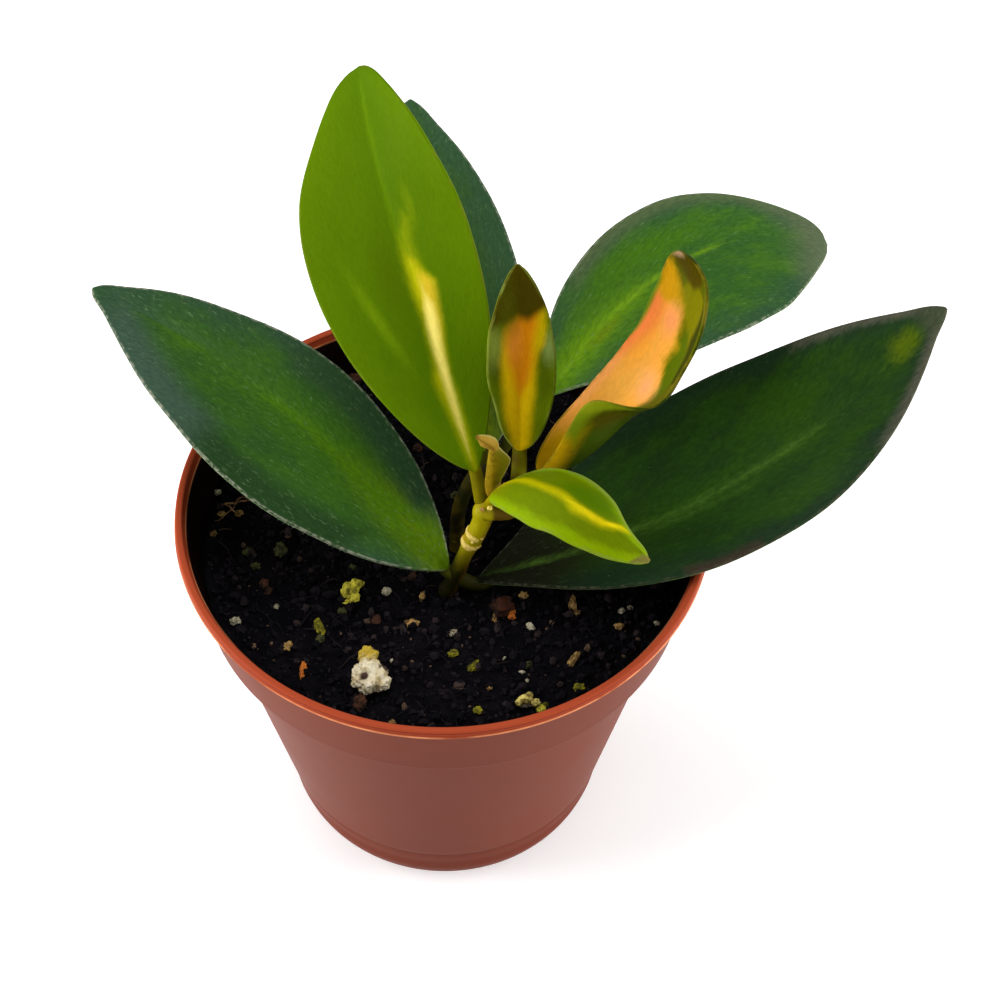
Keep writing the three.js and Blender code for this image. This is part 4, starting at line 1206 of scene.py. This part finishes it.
def pot_profile():
    """Outer then inner outline, from the axis below to the axis above the floor."""
    foot = POT_HEIGHT - COLLAR_DEPTH
    edge = outer_radius(BASE_EDGE_R)
    line = [(0, 0.5), (14.7, 0.5), (15.1, 0.0), (edge - BASE_EDGE_R, 0.0)]
    line += arc((edge - BASE_EDGE_R, BASE_EDGE_R), BASE_EDGE_R, -84, -14, 16)
    for z in (7.0, 8.0, 9.5, 11.4, 11.7, 12.0):
        line.append((outer_radius(max(z, BASE_EDGE_R)) - (0.06 if z == 11.7 else 0.0), z))
    for z in np.linspace(13, foot - 1.0, 15):
        line.append((outer_radius(z), z))
    line += [(COLLAR_FOOT_R - COLLAR_STEP, foot - 0.75), (COLLAR_FOOT_R - COLLAR_STEP + 0.2, foot - 0.5)]
    line += arc((COLLAR_FOOT_R - 0.45, foot - 0.05), 0.45, -90, 0, 6)
    for z in np.linspace(foot + 0.6, POT_HEIGHT - 1.8, 8):
        line.append((outer_radius(z), z))
    line += [(outer_radius(POT_HEIGHT - 1.6), POT_HEIGHT - 1.6), (POT_RIM_R - 0.5, POT_HEIGHT - 1.5)]
    line += arc((POT_RIM_R - 0.24, POT_HEIGHT - 1.28), 0.22, -90, 50, 7)
    line += [(POT_RIM_R - 0.17, POT_HEIGHT - 1.0), (POT_RIM_R - 0.14, POT_HEIGHT - 0.6)]
    line += arc((POT_RIM_R - 0.5, POT_HEIGHT - 0.36), 0.36, 0, 90, 8)
    line += arc((POT_RIM_R - 0.9, POT_HEIGHT - 0.3), 0.3, 90, 180, 7)
    line += [(POT_RIM_R - 1.2, POT_HEIGHT - 0.5)]
    inner = []
    for z in np.linspace(POT_HEIGHT - 2, foot, 8):
        inner.append((outer_radius(z) - WALL, z))
    inner.append((outer_radius(foot - 1) - WALL, foot - 1))
    for z in np.linspace(foot - 2, BASE_EDGE_R, 10):
        inner.append((outer_radius(z) - WALL, z))
    inner += [(edge - WALL - 4.0, FLOOR + 0.6), (edge - WALL - 6.0, FLOOR), (0, FLOOR)]
    return line, inner


# Sides of the turned pot and of its holes, the heights in mm between which the holes are cut, and the first
# one's turn in degrees
POT_SIDES = 256
HOLE_SIDES = 40
HOLE_CUT = (-2, 4)
FIRST_HOLE = 30


def lathe(line, sides):
    turn = full_turn(sides)
    rows = [np.stack([r * np.cos(turn), r * np.sin(turn), np.full(sides, z)], 1) for r, z in line[1:-1]]
    points = np.vstack([*rows, [[0, 0, line[0][1]]], [[0, 0, line[-1][1]]]])
    return points, ring_faces(len(rows), sides)


def make_pot():
    line, inner = pot_profile()
    points, faces = lathe(line + inner, POT_SIDES)
    # inside marks the inner wall, which the material paints almost black as shade.
    inside = np.zeros(len(points))
    inside[(len(line) - 1) * POT_SIDES:] = 1.0
    inside[-2] = 0.0
    pot = add_piece("pot_fine", (points, faces), pot_material(), "pot_plastic", "pot", inside=inside)
    low, high = HOLE_CUT
    hole, hole_faces = lathe([(0, low), (DRAIN_HOLE_R, low), (DRAIN_HOLE_R, high), (0, high)], HOLE_SIDES)
    for k in range(DRAIN_HOLES):
        turn = math.radians(360 * k / DRAIN_HOLES + FIRST_HOLE)
        at = (DRAIN_CIRCLE_R * math.cos(turn), DRAIN_CIRCLE_R * math.sin(turn), 0)
        cutter_mesh = bpy.data.meshes.new("drain_cutter")
        cutter_mesh.from_pydata(((hole + at) * MM).tolist(), [], hole_faces)
        cutter = bpy.data.objects.new("drain_cutter", cutter_mesh)
        bpy.context.scene.collection.objects.link(cutter)
        cut = pot.modifiers.new("drain", "BOOLEAN")
        cut.object = cutter
        cut.solver = "EXACT"
        holed = bpy.data.meshes.new_from_object(pot.evaluated_get(bpy.context.evaluated_depsgraph_get()))
        pot.modifiers.remove(cut)
        pot.data = holed
        bpy.data.objects.remove(cutter)
    return pot


# Soil

# Bumps of the mix, from coarse to fine: how high in mm, how fine, and the level of the noise they come from
BUMPS = [(0.9, 0.16, 1.7), (0.6, 0.45, 5.1), (0.32, 1.2, 9.3)]


def relief(x, y):
    """Height of the crumbly top of the mix."""
    z = 0
    for high, fine, level in BUMPS:
        z += high * noise.noise(Vector((x * fine, y * fine, level)))
    return SOIL_TOP + z


def around(r, a):
    return r * math.cos(a), r * math.sin(a)


# The mix: its rings and sides, its radius at the foot, the crumbs and fibres on it, how far out they are
# strewn, how far out they may reach, and the crumbs' sizes. Lengths in mm.
SOIL_RINGS = 90
SOIL_SIDES = 220
SOIL_FOOT_R = 17.0
CRUMBS = 6500
CRUMBS_WITHIN = 34.0
CRUMBS_REACH = 34.3
LEAST_CRUMB = 0.16
CRUMB_RANGE = 0.6
COARSE_CRUMB = 0.45
FIBRES = 170
FIBRES_WITHIN = 30.5
FIBRES_REACH = 34.2


def make_soil():
    rings, sides = SOIL_RINGS, SOIL_SIDES
    edge = outer_radius(SOIL_TOP) - WALL - 0.1
    points = []
    for i in range(1, rings + 1):
        for j in range(sides):
            x, y = around(edge * i / rings, 2 * math.pi * (j + 0.5 * (i % 2)) / sides)
            points.append((x, y, relief(x, y)))
    foot = POT_HEIGHT - COLLAR_DEPTH
    levels = [(z, outer_radius(z - lower) - WALL - GAP) for z, lower in (
        (foot + 0.6, 0.0), (foot - 1.1, 0.0), (BASE_EDGE_R + 0.6, 0.6),
    )]
    levels.append((FLOOR + 0.5, SOIL_FOOT_R))
    for z, r in levels:
        for j in range(sides):
            points.append((*around(r, 2 * math.pi * j / sides), z))
    points += [(0, 0, relief(0, 0)), (0, 0, FLOOR + 0.5)]
    faces = ring_faces(rings + len(levels), sides, flip=True)
    return add_piece("soil_fine", (points, faces), soil_material(), "potting_mix", "soil")


def icosphere(level):
    g = (1 + 5 ** 0.5) / 2
    points = [(-1, g, 0), (1, g, 0), (-1, -g, 0), (1, -g, 0), (0, -1, g), (0, 1, g)]
    points += [(0, -1, -g), (0, 1, -g), (g, 0, -1), (g, 0, 1), (-g, 0, -1), (-g, 0, 1)]
    faces = [(0, 11, 5), (0, 5, 1), (0, 1, 7), (0, 7, 10), (0, 10, 11), (1, 5, 9), (5, 11, 4), (11, 10, 2)]
    faces += [(10, 7, 6), (7, 1, 8), (3, 9, 4), (3, 4, 2), (3, 2, 6), (3, 6, 8), (3, 8, 9), (4, 9, 5)]
    faces += [(2, 4, 11), (6, 2, 10), (8, 6, 7), (9, 8, 1)]
    points = [tuple(p) for p in unit(points)]
    for _ in range(level):
        middle = {}
        finer = []
        for a, b, c in faces:
            found = []
            for i, j in ((a, b), (b, c), (c, a)):
                key = (min(i, j), max(i, j))
                if key not in middle:
                    middle[key] = len(points)
                    points.append(tuple(unit(np.add(points[i], points[j]))))
                found.append(middle[key])
            p, q, r = found
            finer += [(a, p, r), (b, q, p), (c, r, q), (p, q, r)]
        faces = finer
    return np.array(points), faces


SPHERES = [icosphere(level) for level in range(5)]


def turned(rng, points):
    """The points turned at random."""
    w, x, y, z = unit(rng.standard_normal(4))
    matrix = np.array([
        [1 - 2 * (y * y + z * z), 2 * (x * y - z * w), 2 * (x * z + y * w)],
        [2 * (x * y + z * w), 1 - 2 * (x * x + z * z), 2 * (y * z - x * w)],
        [2 * (x * z - y * w), 2 * (y * z + x * w), 1 - 2 * (x * x + y * y)],
    ])
    return points @ matrix.T


def chunk(rng, centre, half, level, rough=0.25):
    """A rough lump of the given half sizes."""
    points, faces = SPHERES[level]
    shape = points * (1 + rough * rng.uniform(-1, 1, (len(points), 1)))
    return turned(rng, shape) * half + centre, faces


def make_crumbs(material):
    rng = np.random.default_rng(SEEDS["crumbs"])
    parts = []
    own = []
    for _ in range(CRUMBS):
        d = math.sqrt(rng.uniform()) * CRUMBS_WITHIN
        x, y = around(d, rng.uniform(0, 2 * math.pi))
        size = LEAST_CRUMB + CRUMB_RANGE * rng.uniform() ** 4.0
        if d + size > CRUMBS_REACH:
            continue
        half = size * rng.uniform(0.55, 1.2, 3)
        z = relief(x, y) + size * rng.uniform(-0.1, 0.5)
        part = chunk(rng, (x, y, z), half, 1 if size > COARSE_CRUMB else 0, 0.3)
        parts.append(part)
        own.append(np.full(len(part[0]), rng.uniform()))
    own = np.concatenate(own)
    return add_piece("soil_crumbs", join(parts), material, "potting_mix", smooth=False, own=own)


def strand(rng, start, length, turn, r, lift=0.4, sides=5):
    """A thin bent fibre lying on the mix."""
    count = 9
    x, y = start
    line = []
    for k in range(count):
        line.append((x, y, relief(x, y) + r + lift * math.sin(math.pi * k / (count - 1))))
        x += length / (count - 1) * math.cos(turn)
        y += length / (count - 1) * math.sin(turn)
        turn += rng.uniform(-0.5, 0.5)
    radii = [r * (1 - 0.6 * abs(2 * k / (count - 1) - 1) ** 3) for k in range(count)]
    return tube(line, radii, sides)


# Small roots at the left of the mix: start, length, heading and radius
ROOTS = [
    ((-33.0, 6.3), 5.6, 0.1, 0.16), ((-30.6, 6.2), 3.0, 0.8, 0.12), ((-32.0, 6.6), 3.4, -0.4, 0.12),
    ((-33.2, 3.9), 5.0, 0.05, 0.08),
]


def make_fibres(material):
    rng = np.random.default_rng(SEEDS["fibres"])
    parts = []
    own = []
    for _ in range(FIBRES):
        start = around(math.sqrt(rng.uniform()) * FIBRES_WITHIN, rng.uniform(0, 2 * math.pi))
        length = rng.uniform(1.2, 5.0)
        part = strand(rng, start, length, rng.uniform(0, ANY_TURN), rng.uniform(0.05, 0.12))
        if np.hypot(part[0][:, 0], part[0][:, 1]).max() < FIBRES_REACH:
            parts.append(part)
            own.append(np.full(len(part[0]), rng.uniform(0.5, 1.0)))
    add_piece("soil_fibres", join(parts), material, "potting_mix", own=np.concatenate(own))
    skin = grain_material("root_skin", (150, 112, 78), (84, 52, 34))
    add_piece("soil_roots", join([strand(rng, *root) for root in ROOTS]), skin, "bark")


# Crumbs that stand out by their colour: the slot, the light and dark colour, the grain's scale and the
# roughness, then x, y, length, width, height and turn of each, in mm and degrees

BITS = {
    "bits_moss": ("moss", (196, 186, 60), (84, 78, 8), 900.0, 0.8, [
        (-13.0, -8.9, 3.2, 2.2, 1.6, 60), (-11.9, -7.9, 1.8, 1.0, 1.2, 20), (-13.4, -10.4, 1.6, 1.2, 1.0, 0),
        (14.1, -28.0, 1.3, 1.1, 1.1, 0),
    ]),
    "bits_olive": ("moss", (128, 120, 22), (48, 46, 6), 900.0, 0.8, [
        (-17.1, -14.9, 2.8, 1.3, 1.1, 110), (4.7, -21.3, 1.9, 1.5, 1.0, 40), (1.8, -19.2, 1.5, 1.0, 0.8, 10),
        (19.3, -24.8, 1.7, 1.3, 0.9, 0), (5.4, -28.8, 1.3, 1.1, 0.9, 0), (14.6, -27.2, 0.9, 0.8, 0.8, 0),
    ]),
    "bits_dull_green": ("moss", (66, 66, 34), (26, 28, 8), 900.0, 0.8, [
        (-23.3, -1.5, 2.4, 1.6, 1.0, 95), (-16.9, -16.9, 1.2, 1.2, 1.0, 0), (-14.0, -12.1, 1.3, 1.2, 0.9, 0),
        (-27.9, -1.9, 1.6, 1.2, 0.8, 30), (-26.7, -4.4, 1.3, 1.0, 0.8, 0), (-12.9, -4.3, 1.2, 1.0, 0.9, 0),
        (12.2, -20.7, 1.3, 1.0, 0.9, 20), (1.5, 8.6, 1.4, 1.2, 1.0, 0),
    ]),
    "bits_cream": ("perlite", (170, 162, 138), (84, 74, 52), 900.0, 0.8, [
        (-29.0, -13.9, 1.5, 1.2, 1.1, 20), (-7.9, -8.5, 1.4, 1.2, 1.1, 30), (12.0, -27.1, 2.4, 1.3, 1.2, 10),
        (12.6, -14.4, 1.5, 0.9, 0.9, -50), (-23.4, -11.0, 0.8, 0.8, 0.8, 0), (1.7, -15.9, 1.2, 0.9, 0.8, 40),
        (25.4, -11.4, 1.0, 0.7, 0.7, 20), (26.6, -10.7, 0.8, 0.7, 0.6, 0), (30.3, -13.2, 0.8, 0.7, 0.6, 0),
        (-6.8, -20.5, 0.6, 0.35, 0.4, 70), (8.9, -19.7, 0.6, 0.3, 0.4, 60), (11.4, -21.9, 0.9, 0.4, 0.4, 0),
        (12.1, -23.2, 0.5, 0.5, 0.5, 0), (-33.0, 9.0, 1.1, 0.9, 0.8, 30),
    ]),
    "bits_tan": ("bark", (158, 124, 72), (74, 52, 26), 900.0, 0.8, [
        (-2.8, -9.1, 1.7, 0.8, 0.9, 75), (11.5, -9.2, 1.2, 1.1, 1.0, 0), (7.4, -12.6, 1.8, 0.7, 0.8, 100),
        (18.3, -9.9, 2.6, 1.2, 0.9, 95), (18.9, -11.8, 1.4, 0.9, 0.8, 20), (18.6, -19.7, 2.8, 1.0, 0.8, 60),
        (6.9, -24.5, 0.9, 0.8, 0.7, 0), (-6.3, -31.0, 1.0, 0.8, 0.7, 0), (-21.4, -18.0, 1.6, 1.2, 0.9, 70),
        (-32.2, 4.9, 1.0, 0.9, 0.9, 0), (-29.6, 4.9, 1.3, 0.9, 0.9, 10), (-33.2, 1.7, 1.0, 0.9, 0.8, 0),
        (-4.1, -13.6, 1.9, 1.3, 0.9, 0), (25.0, -14.2, 1.3, 1.0, 0.8, 0),
    ]),
    "bits_brown": ("bark", (66, 37, 22), (24, 13, 8), 900.0, 0.8, [
        (-10.9, -27.4, 2.6, 1.8, 1.8, 80), (-25.3, -7.4, 1.9, 1.3, 1.1, 100),
        (-24.6, -8.6, 1.4, 0.9, 0.9, 60), (-9.2, -13.4, 1.5, 1.2, 1.1, 80), (-4.2, -5.6, 1.5, 1.2, 1.1, 0),
        (8.6, -10.6, 2.9, 2.4, 1.7, 30), (9.3, -6.8, 1.5, 0.8, 0.8, 0), (-13.8, 30.4, 2.2, 1.6, 1.4, 0),
        (-4.1, 17.8, 1.4, 1.2, 1.0, 0),
    ]),
    "bits_seed": ("bark", (178, 98, 28), (112, 54, 14), 400.0, 0.5, [
        (9.9, -12.5, 1.6, 1.3, 1.2, 60), (-19.0, -22.6, 2.8, 0.9, 1.0, 85),
    ]),
}


def make_bits():
    rng = np.random.default_rng(SEEDS["bits"])
    for name, (slot, light, dark, scale, rough, places) in BITS.items():
        parts = []
        for x, y, length, width, height, turn in places:
            points, faces = SPHERES[2]
            shape = points * (1 + 0.13 * rng.uniform(-1, 1, (len(points), 1)))
            bumps = np.array([noise.noise(Vector(p * 2.1) + Vector((x, y, 0))) for p in points])
            shape = shape * (1 + 0.45 * bumps[:, None]) * (length / 2, width / 2, height / 2)
            a = math.radians(turn)
            spin = np.array([[math.cos(a), math.sin(a), 0], [-math.sin(a), math.cos(a), 0], [0, 0, 1]])
            parts.append((shape @ spin + (x, y, relief(x, y) + height * 0.3), faces))
        skin = grain_material(name.replace("bits_", "") + "_bit", light, dark, scale, rough)
        add_piece(name, join(parts), skin, slot, smooth=False)


def make_lump(name, node, material, slot, seed, level, balls):
    """A lump with bumps of three sizes, grown together from balls; each has a centre and half sizes."""
    parts = []
    for centre, size in balls:
        points, faces = SPHERES[level]
        rough = []
        for p in points:
            big = noise.noise(Vector(p * 1.6) + Vector((seed, 0, 0)))
            small = noise.noise(Vector(p * 5.0) + Vector((0, seed, 0)))
            tiny = noise.noise(Vector(p * 11.0) + Vector((0, 0, seed)))
            rough.append(1 + 0.34 * big + 0.2 * small + 0.14 * tiny - 0.4 * max(0, small - 0.2))
        parts.append((points * np.array(rough)[:, None] * size + centre, faces))
    return add_piece(name, join(parts), material, slot, node)


def make_lumps():
    make_lump("perlite_fine", "perlite_lump", perlite_material(), "perlite", 4, 4, [
        ((-9.8, -24.1, 58.1), (2.2, 2.6, 2.0)), ((-10.0, -21.1, 58.8), (1.25, 1.2, 1.3)),
        ((-8.2, -24.9, 57.9), (1.3, 1.3, 1.3)),
    ])
    moss = grain_material("moss_skin", (206, 194, 64), (78, 72, 8), 800.0)
    make_lump("moss_fine", "moss_crumb", moss, "moss", 9, 3, [
        ((-13.2, -9.2, 57.4), (1.1, 1.4, 1.1)), ((-12.2, -8.0, 57.8), (0.8, 0.7, 0.8)),
        ((-12.4, -10.0, 57.4), (0.8, 0.8, 0.8)),
    ])
    bark = grain_material("bark_skin", (56, 24, 8), (18, 8, 4), 500.0)
    make_lump("bark_fine", "bark_chunk", bark, "bark", 13, 3, [((8.6, -11.6, 57.4), (1.6, 1.5, 1.2))])
    husk = grain_material("husk_skin", (206, 190, 104), (84, 60, 22), 800.0)
    make_lump("husk_fine", "husk_crumb", husk, "moss", 15, 4, [
        ((11.9, -27.1, 57.4), (1.0, 0.6, 0.8)), ((13.3, -27.7, 57.5), (0.6, 0.5, 0.6)),
        ((11.0, -27.5, 57.2), (0.5, 0.5, 0.6)), ((12.4, -26.6, 57.7), (0.5, 0.4, 0.5)),
    ])


# Light, floor and camera. A light has its place, the height it looks at, its width and its power.

WORLD_COLOUR = (0.97, 0.99, 1.0, 1.0)
WORLD_STRENGTH = 0.5
LIGHTS = {
    "left": ((-0.7, -0.05, 0.42), 0.05, 0.6, 4.0),
    "right": ((0.7, -0.05, 0.42), 0.05, 0.6, 3.2),
    "top": ((-0.1, 0.15, 0.9), 0.06, 0.5, 3.6),
    "low_left": ((-0.42, -0.06, 0.05), 0.03, 0.2, 1.5),
    "low_right": ((0.42, -0.06, 0.05), 0.03, 0.2, 1.3),
}
FLOOR_REACH = 3.0
FLOOR_DROP = 0.0001
FLOOR_GLOW = 0.28


def make_stage():
    scene = bpy.context.scene
    scene.view_settings.view_transform = "Standard"
    scene.world = bpy.data.worlds.new("studio")
    scene.world.use_nodes = True
    sky = scene.world.node_tree.nodes["Background"].inputs
    sky["Color"].default_value = WORLD_COLOUR
    sky["Strength"].default_value = WORLD_STRENGTH
    for name, (at, look_at, size, power) in LIGHTS.items():
        light = bpy.data.lights.new(name, "AREA")
        light.shape = "DISK"
        light.size = size
        light.energy = power
        lamp = bpy.data.objects.new(name, light)
        lamp.location = at
        lamp.rotation_euler = (Vector((0, 0, look_at)) - Vector(at)).to_track_quat("-Z", "Y").to_euler()
        scene.collection.objects.link(lamp)
    floor_mesh = bpy.data.meshes.new("floor")
    corners = [(x * FLOOR_REACH, y * FLOOR_REACH, 0) for x, y in ((-1, -1), (1, -1), (1, 1), (-1, 1))]
    floor_mesh.from_pydata(corners, [], [(0, 1, 2, 3)])
    floor = bpy.data.objects.new("floor", floor_mesh)
    floor.location.z = -FLOOR_DROP
    scene.collection.objects.link(floor)
    paint = Nodes("floor_paint")
    white = paint.mix(paint.noise(paint.place(), 4.0, 2.0), (0.93, 0.93, 0.93, 1), (0.95, 0.95, 0.95, 1))
    floor_mesh.materials.append(paint.finish(
        white, 0.9, Specular_IOR_Level=0.0, Emission_Color=(1.0, 1.0, 1.0, 1.0),
        Emission_Strength=FLOOR_GLOW,
    ))


def make_camera():
    lens = bpy.data.cameras.new("camera")
    lens.sensor_width = SENSOR
    lens.lens = CAMERA_LENS
    lens.clip_end = 20
    camera = bpy.data.objects.new("camera", lens)
    tilt = Matrix.Rotation(math.radians(90 - CAMERA_DOWN), 4, "X")
    roll = Matrix.Rotation(math.radians(CAMERA_ROLL), 4, "Z")
    camera.matrix_world = Matrix.Translation(Vector(CAMERA_AT) * MM) @ tilt @ roll
    bpy.context.scene.collection.objects.link(camera)
    bpy.context.scene.camera = camera


# Hairs on the dark leaves: on the upper face, along the rim, the seed and their size in mm
HAIRS = {
    "leaf_left": (420, 600, 1, 0.38), "leaf_right": (70, 110, 2, 0.4),
    "leaf_back": (120, 240, 3, 0.4), "leaf_back_right": (120, 260, 4, 0.4),
}

make_camera()
make_stage()
make_pot()
make_soil()
make_crumbs(crumb_material())
make_fibres(crumb_material())
make_bits()
make_lumps()
make_stem(MAIN_STEM, stem_material("stem_skin", (72, 72, 2), (146, 136, 2), (64, 42, 4)), "main_stem")
# The back stem is coloured almost black: painted shade, as it stands behind the main stem and under the
# leaves.
make_stem(BACK_STEM, stem_material("back_stem_shaded_skin", (20, 20, 4), (30, 30, 6), (30, 30, 6)), "back_stem")
make_scar()
make_bud()
make_stem_bits()
for number, (leaf_name, leaf_values) in enumerate(LEAVES.items()):
    make_leaf(leaf_name, leaf_values, SEEDS["first_leaf"] + number)
hair = hair_material()
for leaf_name, hair_values in HAIRS.items():
    make_hairs(leaf_name, LEAVES[leaf_name], *hair_values, hair)
